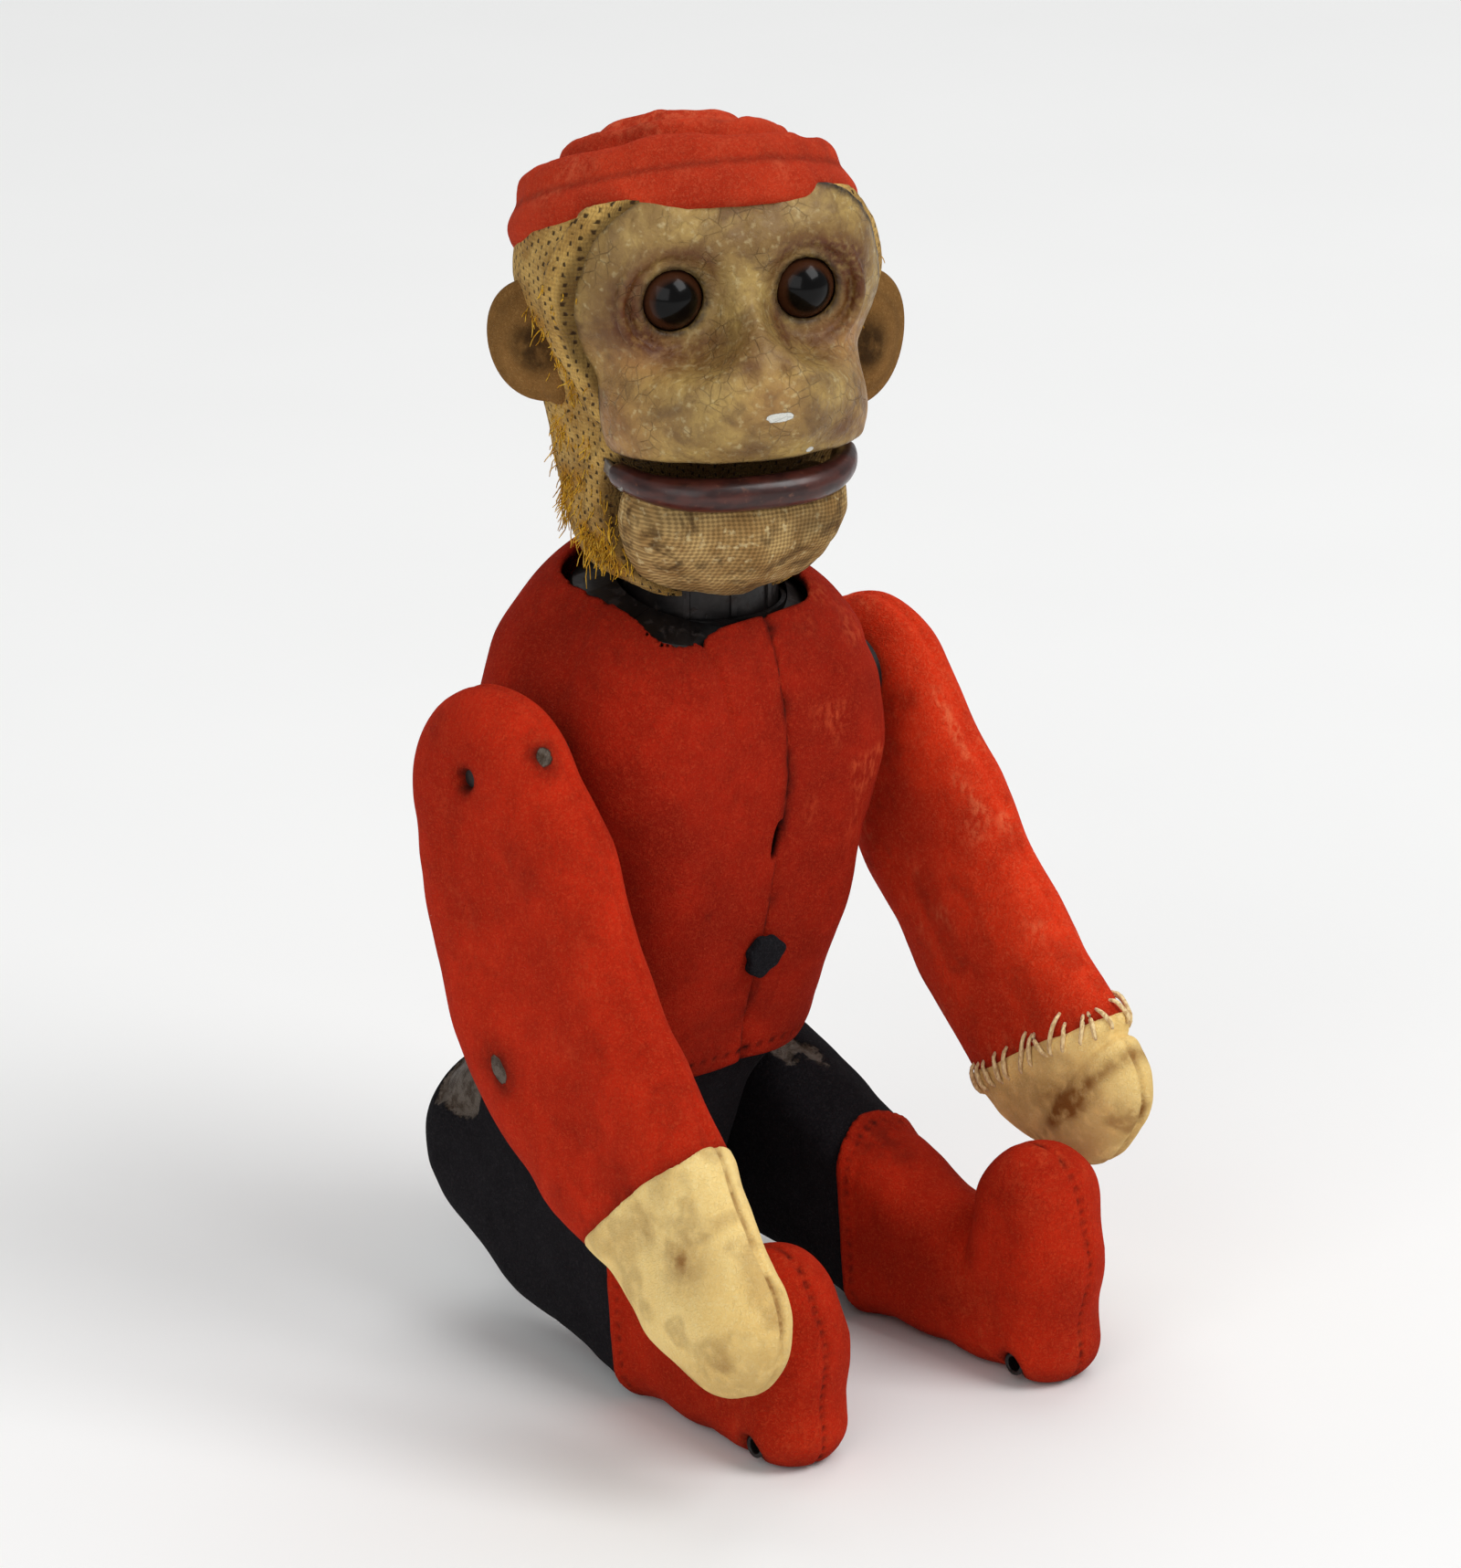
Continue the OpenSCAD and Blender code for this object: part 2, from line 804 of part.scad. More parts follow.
torso_front_shell();
torso_back_shell();
seat_plate();
jacket();
jacket_button();
trousers_seat();
neck_collar();
shaft_bush_right();
shaft_bush_left();
motor_plate_right();
motor_plate_left();
motor_pillars();
mainspring();
hip_rod();
hip_caps();
arm_shaft();
ratchet_wheel();
arm_core_right();
arm_core_left();
arm_hub_right();
arm_hub_left();
sleeve_right();
sleeve_left();
hand_right();
hand_left();
wrist_stitches();
great_wheel();
click();
click_spring();
second_arbor();
second_wheel();
third_arbor();
third_wheel();
governor_arbor();
governor_fly();
neck_drum();
neck_fork();
nod_pin();
skull_shell();
face_mask();
head_plush();
cap();
ear_right();
ear_left();
eye_right();
eye_left();
jaw_pin();
jaw_shell();
lower_lip();
jaw_brackets();
chin_cloth();
leg_core_right();
trouser_leg_right();
boot_right();
heel_rivet_right();
leg_core_left();
trouser_leg_left();
boot_left();
heel_rivet_left();
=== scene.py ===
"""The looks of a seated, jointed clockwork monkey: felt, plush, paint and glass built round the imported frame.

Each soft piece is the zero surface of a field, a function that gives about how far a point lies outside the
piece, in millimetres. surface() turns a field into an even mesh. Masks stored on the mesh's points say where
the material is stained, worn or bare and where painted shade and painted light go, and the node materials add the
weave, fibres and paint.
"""
import functools
import json
import math

import bpy
import numpy as np
from mathutils import Matrix, Vector


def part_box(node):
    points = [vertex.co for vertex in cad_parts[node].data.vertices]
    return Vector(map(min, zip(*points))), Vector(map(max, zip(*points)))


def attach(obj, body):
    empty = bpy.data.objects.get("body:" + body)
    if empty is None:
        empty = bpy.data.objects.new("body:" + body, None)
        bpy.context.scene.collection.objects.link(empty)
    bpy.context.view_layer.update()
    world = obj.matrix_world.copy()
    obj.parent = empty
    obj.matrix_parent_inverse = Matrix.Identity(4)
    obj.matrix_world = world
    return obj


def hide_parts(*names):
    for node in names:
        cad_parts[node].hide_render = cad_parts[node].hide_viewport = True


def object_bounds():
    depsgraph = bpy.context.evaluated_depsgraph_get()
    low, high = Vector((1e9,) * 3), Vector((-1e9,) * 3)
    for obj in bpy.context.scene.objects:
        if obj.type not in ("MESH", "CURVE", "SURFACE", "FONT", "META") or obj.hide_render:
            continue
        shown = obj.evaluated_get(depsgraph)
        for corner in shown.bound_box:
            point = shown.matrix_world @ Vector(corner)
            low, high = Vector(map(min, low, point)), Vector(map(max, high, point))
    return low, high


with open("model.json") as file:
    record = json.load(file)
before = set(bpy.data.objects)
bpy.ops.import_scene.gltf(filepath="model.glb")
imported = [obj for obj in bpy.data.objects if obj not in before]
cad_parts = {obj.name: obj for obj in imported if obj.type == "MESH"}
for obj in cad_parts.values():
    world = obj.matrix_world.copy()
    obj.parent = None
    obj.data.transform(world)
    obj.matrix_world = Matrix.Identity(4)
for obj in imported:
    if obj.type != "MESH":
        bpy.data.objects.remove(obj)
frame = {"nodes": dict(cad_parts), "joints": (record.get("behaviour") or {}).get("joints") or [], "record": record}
cad_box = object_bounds()

MM = 0.001
JOINTS = {joint["name"]: joint for joint in frame["joints"]}


# ---- places, worked out from the frame, in millimetres ----

def joint_at(name):
    return np.array(JOINTS[name]["pos_m"]) / MM


def middle(node):
    low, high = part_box(node)
    return np.array((low + high) / 2) / MM


def turn(axis, degrees):
    """Rotation matrix about X, Y or Z."""
    return np.array(Matrix.Rotation(math.radians(degrees), 3, axis))


class Place:
    """A local frame: its origin, and a rotation that takes local directions to the row frame."""

    def __init__(self, origin, rotation=np.eye(3)):
        self.origin = np.array(origin, float)
        self.rotation = rotation

    def out(self, points):
        return points @ self.rotation.T + self.origin


nod_axis = JOINTS["head_nod"]["axis"]
HEAD_TURN = math.degrees(math.atan2(nod_axis[1], nod_axis[0]))
NECK_Y = joint_at("neck_turn")[1]
WORLD = Place((0, 0, 0))
HEAD = Place((0, NECK_Y, 0), turn("Z", HEAD_TURN))
SHAFT = joint_at("arm_shaft_turn")
HIP_Z = joint_at("right_hip_turn")[2]
# in degrees: how far each arm swings forward at rest, and small tilts
RIGHT_SWING = 36.5
LEFT_SWING = 33
LEG_SPLAY = 2
ARM_TWIST = 4


def arm_place(side, hand):
    """Origin on the shaft, -Z down the arm, +Y to its rear. The arm leans out and is twisted a little."""
    swing = RIGHT_SWING if side < 0 else LEFT_SWING
    lean, inward = (1, 0.7) if side < 0 else (1.8, 1.4)
    rotation = turn("X", -swing) @ turn("Y", -side * lean) @ turn("Z", -side * ARM_TWIST)
    return Place((middle(hand)[0] - side * inward, SHAFT[1], SHAFT[2]), rotation)


def leg_place(side):
    hip = joint_at("left_hip_turn" if side > 0 else "right_hip_turn")
    return Place((hip[0], 0, 0), turn("Z", side * LEG_SPLAY))


# ---- fields ----

def noise(p, size, seed=0):
    """Smooth value noise from -1 to 1, with features of about that size."""
    q = p / size + seed * 7.31
    cell = np.floor(q).astype(np.int64)
    f = q - cell
    f = f * f * (3 - 2 * f)
    total = np.zeros(len(p))
    for corner in np.ndindex(2, 2, 2):
        i, j, k = (cell + corner).T
        h = (i * 73856093) ^ (j * 19349663) ^ (k * 83492791)
        h = ((h ^ (h >> 13)) * 1274126177) & 0xFFFFFF
        weight = np.prod(np.where(corner, f, 1 - f), axis=1)
        total += weight * (h / 0x7FFFFF - 1)
    return total


def join(a, b, k):
    """Two forms as one, blended over the distance k."""
    h = np.clip(0.5 + 0.5 * (b - a) / k, 0, 1)
    return b + (a - b) * h - k * h * (1 - h)


def meet(a, b, k):
    """What is in both forms, with the edge rounded over k. meet(a, -b, k) cuts b out of a."""
    return -join(-a, -b, k)


def ramp(x, low, high):
    """0 below low and 1 above high, rising smoothly between."""
    t = np.clip((x - low) / (high - low), 0, 1)
    return t * t * (3 - 2 * t)


def bell(x, width):
    """1 where x is 0, fading out to either side over the width."""
    return np.exp(-((x / width) ** 2))


def ball(p, centre, radius):
    return np.linalg.norm(p - np.array(centre), axis=1) - radius


def spot(p, centre, size):
    """1 at centre, fading out over size, which is one number or one for each axis."""
    return np.exp(-((((p - np.array(centre)) / size) ** 2).sum(1)))


def spots(p, *rows):
    """Several spots, each as (strength, centre, size)."""
    return sum(strength * spot(p, centre, size) for strength, centre, size in rows)


def patchy(p, size, seed, low, high):
    """Noise as patches with soft edges, from 0 to 1."""
    return ramp(noise(p, size, seed), low, high)


def egg(p, centre, radii):
    q = (p - np.array(centre)) / np.array(radii)
    near = np.linalg.norm(q, axis=1)
    return near * (near - 1) / np.maximum(np.linalg.norm(q / np.array(radii), axis=1), 1e-6)


def cone(p, a, b, radius_a, radius_b=None):
    """A rod with round ends from a to b, in two or three dimensions."""
    a, b = np.array(a, float), np.array(b, float)
    radius_b = radius_a if radius_b is None else radius_b
    t = np.clip((p - a) @ (b - a) / ((b - a) @ (b - a)), 0, 1)
    return np.linalg.norm(p - a - t[:, None] * (b - a), axis=1) - radius_a - (radius_b - radius_a) * t


def both_sides(p):
    """The point folded onto the positive X side."""
    return p * [1, 1, 1] * np.where(p[:, :1] < 0, [-1, 1, 1], [1, 1, 1])


def outline(flat, stations, k):
    """Signed distance to a limb's side view, a chain of (along, across, half width)."""
    parts = [cone(flat, a[:2], b[:2], a[2], b[2]) for a, b in zip(stations, stations[1:])]
    return functools.reduce(lambda whole, part: join(whole, part, k), parts)


def pillow(x, inside, half, edge):
    """A flat limb of that half thickness whose rim is rounded over the edge distance."""
    rim = np.maximum(edge - inside, 0)
    return (np.hypot(rim, x * edge / half) - edge) * np.minimum(1, half / edge)


# ---- from a field to a mesh ----

def slope(field, p):
    tiny = 0.02
    here = field(p)
    steps = [(field(p + tiny * axis) - here) / tiny for axis in np.eye(3)]
    return here, np.stack(steps, 1)


def settle(field, p, reach, rounds):
    for _ in range(rounds):
        value, way = slope(field, p)
        move = value / np.maximum((way**2).sum(1), 0.05)
        p = p - np.clip(move, -reach, reach)[:, None] * way
    return p


def surface(field, low, high, step):
    """The zero surface of field in a box: one point in each grid cell that it crosses, joined in quads."""
    axes = [np.arange(a - step, b + 2 * step, step) for a, b in zip(low, high)]
    grid = np.stack(np.meshgrid(*axes, indexing="ij"), -1)
    inside = field(grid.reshape(-1, 3)).reshape(grid.shape[:3]) < 0
    wide, deep, tall = np.array(inside.shape) - 1
    count = sum(
        inside[i : i + wide, j : j + deep, k : k + tall].astype(int) for i, j, k in np.ndindex(2, 2, 2)
    )
    crossed = (count > 0) & (count < 8)
    number = np.full(crossed.shape, -1)
    number[crossed] = np.arange(crossed.sum())
    points = grid[:-1, :-1, :-1][crossed] + step / 2
    quads = []
    for axis in range(3):
        a, b = np.moveaxis(inside, axis, 0)[:-1, 1:-1, 1:-1], np.moveaxis(inside, axis, 0)[1:, 1:-1, 1:-1]
        cells = np.moveaxis(number, axis, 0)
        i, j, k = np.nonzero(a != b)
        ring = np.stack([cells[i, j, k], cells[i, j + 1, k], cells[i, j + 1, k + 1], cells[i, j, k + 1]], 1)
        flip = a[i, j, k] == (axis == 1)
        quads.append(np.where(flip[:, None], ring[:, ::-1], ring))
    quads = np.concatenate(quads)
    points = settle(field, points, step, 3)
    for _ in range(3):
        total, share = np.zeros_like(points), np.zeros(len(points))
        for a, b in ((0, 1), (1, 2), (2, 3), (3, 0)):
            for here, there in ((a, b), (b, a)):
                for c in range(3):
                    total[:, c] += np.bincount(quads[:, here], points[quads[:, there], c], len(points))
                share += np.bincount(quads[:, here], minlength=len(points))
        points = settle(field, points + 0.6 * (total / share[:, None] - points), step / 2, 1)
    return settle(field, points, step / 2, 1), quads.tolist()


def add(name, data):
    made = bpy.data.objects.new(name, data)
    bpy.context.scene.collection.objects.link(made)
    return made


def mesh_piece(name, points, faces, place, body, material, replaces=(), masks=None):
    """One piece of the object from local points in millimetres. masks: name to a value for each point."""
    mesh = bpy.data.meshes.new(name)
    mesh.from_pydata([tuple(p) for p in place.out(points) * MM], [], [tuple(f) for f in faces])
    mesh.shade_smooth()
    for mask, values in (masks or {}).items():
        attribute = mesh.attributes.new(mask, "FLOAT", "POINT")
        attribute.data.foreach_set("value", np.asarray(values, np.float32))
    mesh.materials.append(material)
    piece = add(name, mesh)
    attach(piece, body)
    if replaces:
        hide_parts(*replaces)
    return piece


def form(name, field, low, high, place, body, material, replaces=(), masks=None, step=0.5):
    points, quads = surface(field, low, high, step)
    values = {mask: np.clip(paint(points), 0, 1) for mask, paint in (masks or {}).items()}
    return mesh_piece(name, points, quads, place, body, material, replaces, values)


def strands(paths, radius, sides):
    """One mesh of thin closed tubes along paths, which all have the same number of points."""
    paths = np.asarray(paths)
    count, rings = paths.shape[:2]
    way = np.gradient(paths, axis=1)
    way /= np.linalg.norm(way, axis=2)[..., None] + 1e-9
    across = np.cross(way, [0.31, 0.27, 0.91])
    across /= np.linalg.norm(across, axis=2)[..., None] + 1e-9
    other = np.cross(way, across)
    thin = radius * (1 - 0.35 * np.linspace(-1, 1, rings) ** 2)[None, :, None, None]
    angles = np.arange(sides) / sides * 2 * math.pi
    ring = np.cos(angles)[:, None] * across[:, :, None] + np.sin(angles)[:, None] * other[:, :, None]
    points = (paths[:, :, None] + thin * ring).reshape(-1, 3)
    faces = []
    for first in range(0, count * rings * sides, rings * sides):
        for start in range(first, first + (rings - 1) * sides, sides):
            for side in range(sides):
                after = (side + 1) % sides
                faces.append((start + side, start + after, start + sides + after, start + sides + side))
        faces.append(tuple(first + side for side in reversed(range(sides))))
        faces.append(tuple(first + (rings - 1) * sides + side for side in range(sides)))
    return points, faces


# ---- node materials ----

def rgb(red, green, blue):
    """A colour as it is seen on a screen, 0 to 255, as linear light."""
    share = [c / 255 for c in (red, green, blue)]
    return (*[c / 12.92 if c < 0.04045 else ((c + 0.055) / 1.055) ** 2.4 for c in share], 1)


class Look:
    """A material under construction, with sizes in millimetres of the object's own space."""

    def __init__(self, name, roughness, tone, **sockets):
        self.material = bpy.data.materials.new(name)
        self.material.use_nodes = True
        self.tree = self.material.node_tree
        self.shader = self.tree.nodes["Principled BSDF"]
        self.tone = tone
        for socket, value in {"roughness": roughness, **sockets}.items():
            self.shader.inputs[socket.replace("_", " ").title().replace("Ior", "IOR")].default_value = value
        self.where = self.node("ShaderNodeTexCoord").outputs["Object"]
        self.relief = None

    def node(self, kind, **settings):
        made = self.tree.nodes.new(kind)
        for name, value in settings.items():
            setattr(made, name, value)
        return made

    def feed(self, socket, value):
        if isinstance(value, bpy.types.NodeSocket):
            self.tree.links.new(value, socket)
        else:
            socket.default_value = value

    def texture(self, kind, size, stretch, shift):
        spread = self.node("ShaderNodeMapping")
        self.feed(spread.inputs["Vector"], self.where)
        spread.inputs["Scale"].default_value = [1 / (size * MM * s) for s in stretch]
        spread.inputs["Location"].default_value = shift
        made = self.node(kind)
        self.feed(made.inputs["Vector"], spread.outputs[0])
        made.inputs["Scale"].default_value = 1
        return made

    def noise(self, size, detail=3, stretch=(1, 1, 1), seed=0, twist=0):
        made = self.texture("ShaderNodeTexNoise", size, stretch, (seed, seed * 1.7, -seed))
        made.inputs["Detail"].default_value = detail
        made.inputs["Distortion"].default_value = twist
        return made.outputs[0]

    def blots(self, size, detail, low, high, *levels, **noise):
        """Noise as patches with soft edges, 0 where it is under low and 1 over high, or the two levels."""
        return self.between(self.noise(size, detail, **noise), low, high, *levels)

    def cracks(self, size, seed):
        """The distance to the nearest crack of a crackled coat."""
        made = self.texture("ShaderNodeTexVoronoi", size, (1, 1, 1), (seed, -seed, seed))
        made.feature = "DISTANCE_TO_EDGE"
        return made.outputs["Distance"]

    def mask(self, name):
        return self.node("ShaderNodeAttribute", attribute_name=name).outputs["Fac"]

    def math(self, how, a, b=0):
        made = self.node("ShaderNodeMath", operation=how)
        self.feed(made.inputs[0], a)
        self.feed(made.inputs[1], b)
        return made.outputs[0]

    def times(self, a, b):
        return self.math("MULTIPLY", a, b)

    def plus(self, a, b):
        return self.math("ADD", a, b)

    def between(self, value, low, high, new_low=0, new_high=1):
        made = self.node("ShaderNodeMapRange", interpolation_type="SMOOTHSTEP")
        for socket, number in zip(made.inputs, (value, low, high, new_low, new_high)):
            self.feed(socket, number)
        return made.outputs[0]

    def mix(self, factor, a, b):
        made = self.node("ShaderNodeMix", data_type="RGBA")
        for place, value in ((0, factor), (6, a), (7, b)):
            self.feed(made.inputs[place], value)
        return made.outputs[2]

    def lay(self, factor, colour):
        """Lays a colour over what the surface has so far."""
        self.tone = self.mix(factor, self.tone, colour)

    def dapple(self, colour, *blots, **noise):
        """Lays a colour on in patches, given as for blots."""
        self.lay(self.blots(*blots, **noise), colour)

    def raise_by(self, height, distance):
        """Adds to the surface's relief, in millimetres."""
        more = self.times(height, distance * MM)
        self.relief = more if self.relief is None else self.plus(self.relief, more)

    def done(self, roughness=None, metallic=None):
        for socket, value in (("Base Color", self.tone), ("Roughness", roughness), ("Metallic", metallic)):
            if value is not None:
                self.feed(self.shader.inputs[socket], value)
        if self.relief:
            bump = self.node("ShaderNodeBump")
            bump.inputs["Distance"].default_value = 1
            self.feed(bump.inputs["Height"], self.relief)
            self.feed(self.shader.inputs["Normal"], bump.outputs[0])
        return self.material


def felt(name, colour, dark, pale, dirt_and_shade, soil=0.5):
    """Pressed wool. Masks: stain darkens it with real stains and with painted shade in holes, folds, hollows and
    gaps, scuff pales it with wear and with painted light on parts that lie in shade, and bare shows the tin under
    it.
    """
    colour, dark, pale, dirt_and_shade = (rgb(*each) for each in (colour, dark, pale, dirt_and_shade))
    look = Look(
        name, 0.95, colour, sheen_weight=0.06, sheen_roughness=0.5, sheen_tint=pale, specular_ior_level=0.06
    )
    cloudy = look.blots(3.2, 4, 0.3, 0.72, seed=8, twist=0.4)
    fibre = look.noise(0.32, 3, seed=1, twist=1.2)
    look.lay(look.times(look.blots(14, 3, 0.35, 0.68, seed=3), 0.55), dark)
    look.lay(look.times(cloudy, 0.3), dark)
    look.lay(look.between(fibre, 0.42, 0.75, 0, 0.35), pale)
    look.dapple(dark, 0.9, 3, 0.25, 0.5, 0.3, 0, stretch=(1, 1, 2.5), seed=5, twist=1.5)
    worn = look.blots(0.7, 5, 0.4, 0.66, stretch=(1, 1, 1.6), seed=12)
    # The scuff mask pales worn spots, and on the left sleeve and the cap's top it is also painted light.
    look.lay(look.times(look.mask("scuff_and_light"), worn), pale)
    # The stain mask darkens with real stains and also with painted shade, both laid in the same dark colour.
    blot = look.plus(look.mask("stain_and_shade"), look.blots(5.5, 4, 0.62, 0.85, 0, soil, seed=20))
    ragged = look.times(blot, look.blots(1.6, 4, 0.2, 0.6, 0.35, 1, seed=23))
    look.lay(look.math("MINIMUM", ragged, 1), dirt_and_shade)
    tin = look.between(look.plus(look.mask("bare"), look.times(look.noise(0.7, 4, seed=31), 0.3)), 0.6, 0.7)
    look.lay(tin, look.mix(look.blots(1.1, 4, 0.4, 0.65, seed=40), rgb(104, 94, 85), rgb(70, 58, 48)))
    look.raise_by(fibre, 0.22)
    look.raise_by(look.noise(0.16, 2, seed=2), 0.07)
    look.raise_by(cloudy, 0.08)
    look.raise_by(tin, -0.3)
    return look.done(look.math("SUBTRACT", 0.95, look.times(tin, 0.5)), look.times(tin, 0.7))


def tinplate(name, light, dark, rust, roughness, metallic=0.9):
    look = Look(name, roughness, rgb(*light))
    look.dapple(rgb(*dark), 4, 4, 0.35, 0.65, seed=2)
    spots = look.blots(1.4, 5, 0.55, 0.7, seed=6, twist=0.5)
    look.lay(spots, rgb(*rust))
    scratch = look.noise(0.5, 2, (1, 9, 1), seed=9)
    look.raise_by(scratch, 0.02)
    look.raise_by(spots, -0.03)
    rough = look.plus(roughness, look.times(spots, 0.35))
    rough = look.plus(rough, look.between(scratch, 0.3, 0.7, -0.06, 0.06))
    return look.done(rough, look.times(look.math("SUBTRACT", 1, spots), metallic))


def face_paint():
    """Old crackled paint. Masks: stain is brown stains with painted shade round the eye sockets, gap is painted
    shade at the plush's edge, round the glass eyes and over the mouth, chip bare plaster, pink a blush.
    """
    look = Look(
        "face_paint", 0.55, rgb(178, 148, 84), coat_weight=0.12, coat_roughness=0.35, specular_ior_level=0.25
    )
    look.dapple(rgb(142, 112, 62), 6, 4, 0.36, 0.64, seed=4, twist=0.3)
    fine = look.blots(1.1, 5, 0.35, 0.68, seed=9, twist=0.6)
    look.lay(look.times(fine, 0.4), rgb(118, 88, 46))
    look.lay(look.times(look.mask("pink"), 0.55), rgb(176, 114, 66))
    look.dapple(rgb(214, 196, 146), 0.9, 6, 0.55, 0.72, 0, 0.4, seed=15)
    look.dapple(rgb(96, 68, 40), 3.6, 6, 0.46, 0.7, 0, 0.6, seed=21, twist=0.5)
    ragged = look.blots(0.9, 4, 0.2, 0.62, 0.45, 1, seed=25)
    look.lay(look.times(look.mask("stain_and_shade"), ragged), rgb(88, 46, 16))
    # Painted shade, near black, from the gap mask.
    look.lay(look.times(look.mask("gap"), ragged), rgb(28, 16, 9))
    crack = look.between(look.cracks(1.7, 3), 0, 0.05, 1, 0)
    crack = look.times(crack, look.blots(5, 2, 0.45, 0.6, seed=33))
    look.lay(look.times(crack, 0.25), rgb(60, 42, 28))
    chip = look.between(look.plus(look.mask("chip"), look.times(look.noise(0.8, 4), 0.4)), 0.7, 0.76)
    look.lay(chip, rgb(214, 214, 206))
    look.raise_by(look.noise(0.45, 5, seed=7), 0.14)
    look.raise_by(fine, 0.1)
    look.raise_by(crack, -0.08)
    look.raise_by(chip, -0.12)
    return look.done(look.blots(1.5, 4, 0.3, 0.7, 0.36, 0.66, seed=44))


def woven_plush():
    """Bald plush: a tan cloth with rows of dark dashes where the pile was tied. Masks: row and run are
    distances across and along the rows, and gold is where the mohair is left."""
    row_gap, tuft_gap = 1.35, 1.15
    look = Look("head_plush", 0.95, rgb(206, 166, 92), sheen_weight=0.05, specular_ior_level=0.08)
    row = look.math("DIVIDE", look.mask("row"), row_gap)
    run = look.mask("run")
    row = look.plus(row, look.blots(2.5, 2, 0.3, 0.7, -0.3, 0.3, seed=3))
    across = look.math("ABSOLUTE", look.math("SUBTRACT", look.math("FRACT", row), 0.5))
    stagger = look.times(look.math("FLOOR", row), 0.37)
    along = look.math("FRACT", look.plus(look.math("DIVIDE", run, tuft_gap), stagger))
    dash = look.times(look.between(across, 0.08, 0.2, 1, 0), look.between(along, 0.3, 0.5, 1, 0))
    dash = look.times(dash, look.blots(1.8, 3, 0.34, 0.46, seed=14))
    weave = look.math("SINE", look.times(run, 13))
    cloth = look.times(look.plus(weave, look.math("SINE", look.times(row, 21))), 0.5)
    look.dapple(rgb(164, 126, 66), 4, 4, 0.35, 0.65, seed=5)
    look.lay(look.between(cloth, -0.6, 0.6, 0.25, 0), rgb(98, 70, 32))
    look.dapple(rgb(212, 180, 112), 0.5, 4, 0.55, 0.75, 0, 0.5, seed=8)
    look.lay(look.times(look.mask("gold"), 0.8), rgb(176, 120, 20))
    look.lay(look.times(dash, 0.9), rgb(40, 26, 14))
    # Painted shade along the plush's edge, from the stain mask.
    look.lay(look.mask("stain_and_shade"), rgb(46, 28, 15))
    look.raise_by(cloth, 0.07)
    look.raise_by(dash, -0.12)
    look.raise_by(look.noise(0.3, 3, seed=11), 0.15)
    return look.done()


def linen():
    """Coarse soiled linen, its threads following the object's X and Z directions."""
    thread_gap = 0.5 * MM
    look = Look("chin_linen", 0.9, rgb(200, 166, 108), specular_ior_level=0.1)
    threads = []
    for direction in "XZ":
        wave = look.node("ShaderNodeTexWave", wave_type="BANDS", bands_direction=direction)
        look.feed(wave.inputs["Vector"], look.where)
        wave.inputs["Scale"].default_value = 2 * math.pi / 20 / thread_gap
        wave.inputs["Distortion"].default_value = 1.5
        wave.inputs["Detail Scale"].default_value = 1
        threads.append(wave.outputs["Fac"])
    weave = look.times(look.plus(*threads), 0.5)
    look.dapple(rgb(160, 124, 74), 3.5, 4, 0.35, 0.65, seed=5)
    look.lay(look.between(weave, 0.2, 0.8, 0.55, 0), rgb(84, 62, 36))
    look.dapple(rgb(226, 204, 152), 1, 4, 0.58, 0.72, 0, 0.6, seed=15)
    blot = look.blots(3, 5, 0.5, 0.68, 0, 0.7, seed=27, twist=0.6)
    # The stain mask carries stains and, on the chin's top, painted shade of the mouth.
    look.lay(look.math("MAXIMUM", look.mask("stain_and_shade"), blot), rgb(62, 42, 26))
    look.raise_by(weave, 0.16)
    look.raise_by(look.noise(1.2, 4, seed=17), 0.2)
    return look.done()


def lip_paint():
    look = Look(
        "lip_paint", 0.35, rgb(74, 34, 26), coat_weight=0.3, coat_roughness=0.22, specular_ior_level=0.3
    )
    look.dapple(rgb(44, 19, 16), 3, 4, 0.35, 0.65, stretch=(1, 1, 0.4), seed=6)
    look.dapple(rgb(124, 76, 54), 0.9, 5, 0.6, 0.74, 0, 0.4, seed=9)
    look.raise_by(look.noise(2.2, 3, (1.5, 1.5, 0.6), seed=3), 0.06)
    return look.done(look.blots(1.4, 3, 0.3, 0.7, 0.28, 0.5, seed=2))


def eye_glass():
    """Glass over a painted iris. Mask iris is the distance from the eye's own axis, in millimetres."""
    pupil, rim = (2.2, 2.9), (3.1, 3.6)
    look = Look("eye_glass", 0.2, rgb(5, 4, 4), coat_weight=0.12, coat_roughness=0.05, specular_ior_level=0.1)
    off_axis = look.mask("iris")
    brown = look.mix(look.times(look.noise(0.5, 3, seed=4), 0.5), rgb(66, 36, 20), rgb(36, 19, 11))
    look.lay(look.between(off_axis, *pupil), brown)
    look.lay(look.between(off_axis, *rim), rgb(24, 12, 8))
    return look.done()


def mohair():
    look = Look("mohair", 0.55, rgb(226, 170, 30), specular_ior_level=0.25)
    look.dapple(rgb(176, 122, 18), 2.2, 3, 0.35, 0.65, seed=6)
    look.dapple(rgb(242, 206, 88), 0.6, 2, 0.45, 0.7, 0, 0.6, seed=3)
    return look.done()


def thread_look():
    look = Look("thread", 0.85, rgb(240, 214, 160), sheen_weight=0.2)
    twist = look.noise(0.25, 2, (1, 1, 3), seed=2)
    look.lay(look.between(twist, 0.35, 0.65), rgb(196, 160, 106))
    look.raise_by(twist, 0.06)
    return look.done()


# A darker copy of the red felt for the jacket: partly painted shade on the chest under the head and arms, partly
# less faded felt.
SHADED_RED_FELT = felt("red_felt_shaded", (168, 34, 15), (116, 20, 8), (196, 74, 42), (46, 14, 10), 0.35)
SLEEVE_RIGHT = felt("sleeve_right_felt", (196, 42, 18), (142, 25, 9), (210, 82, 46), (54, 17, 11), 0.3)
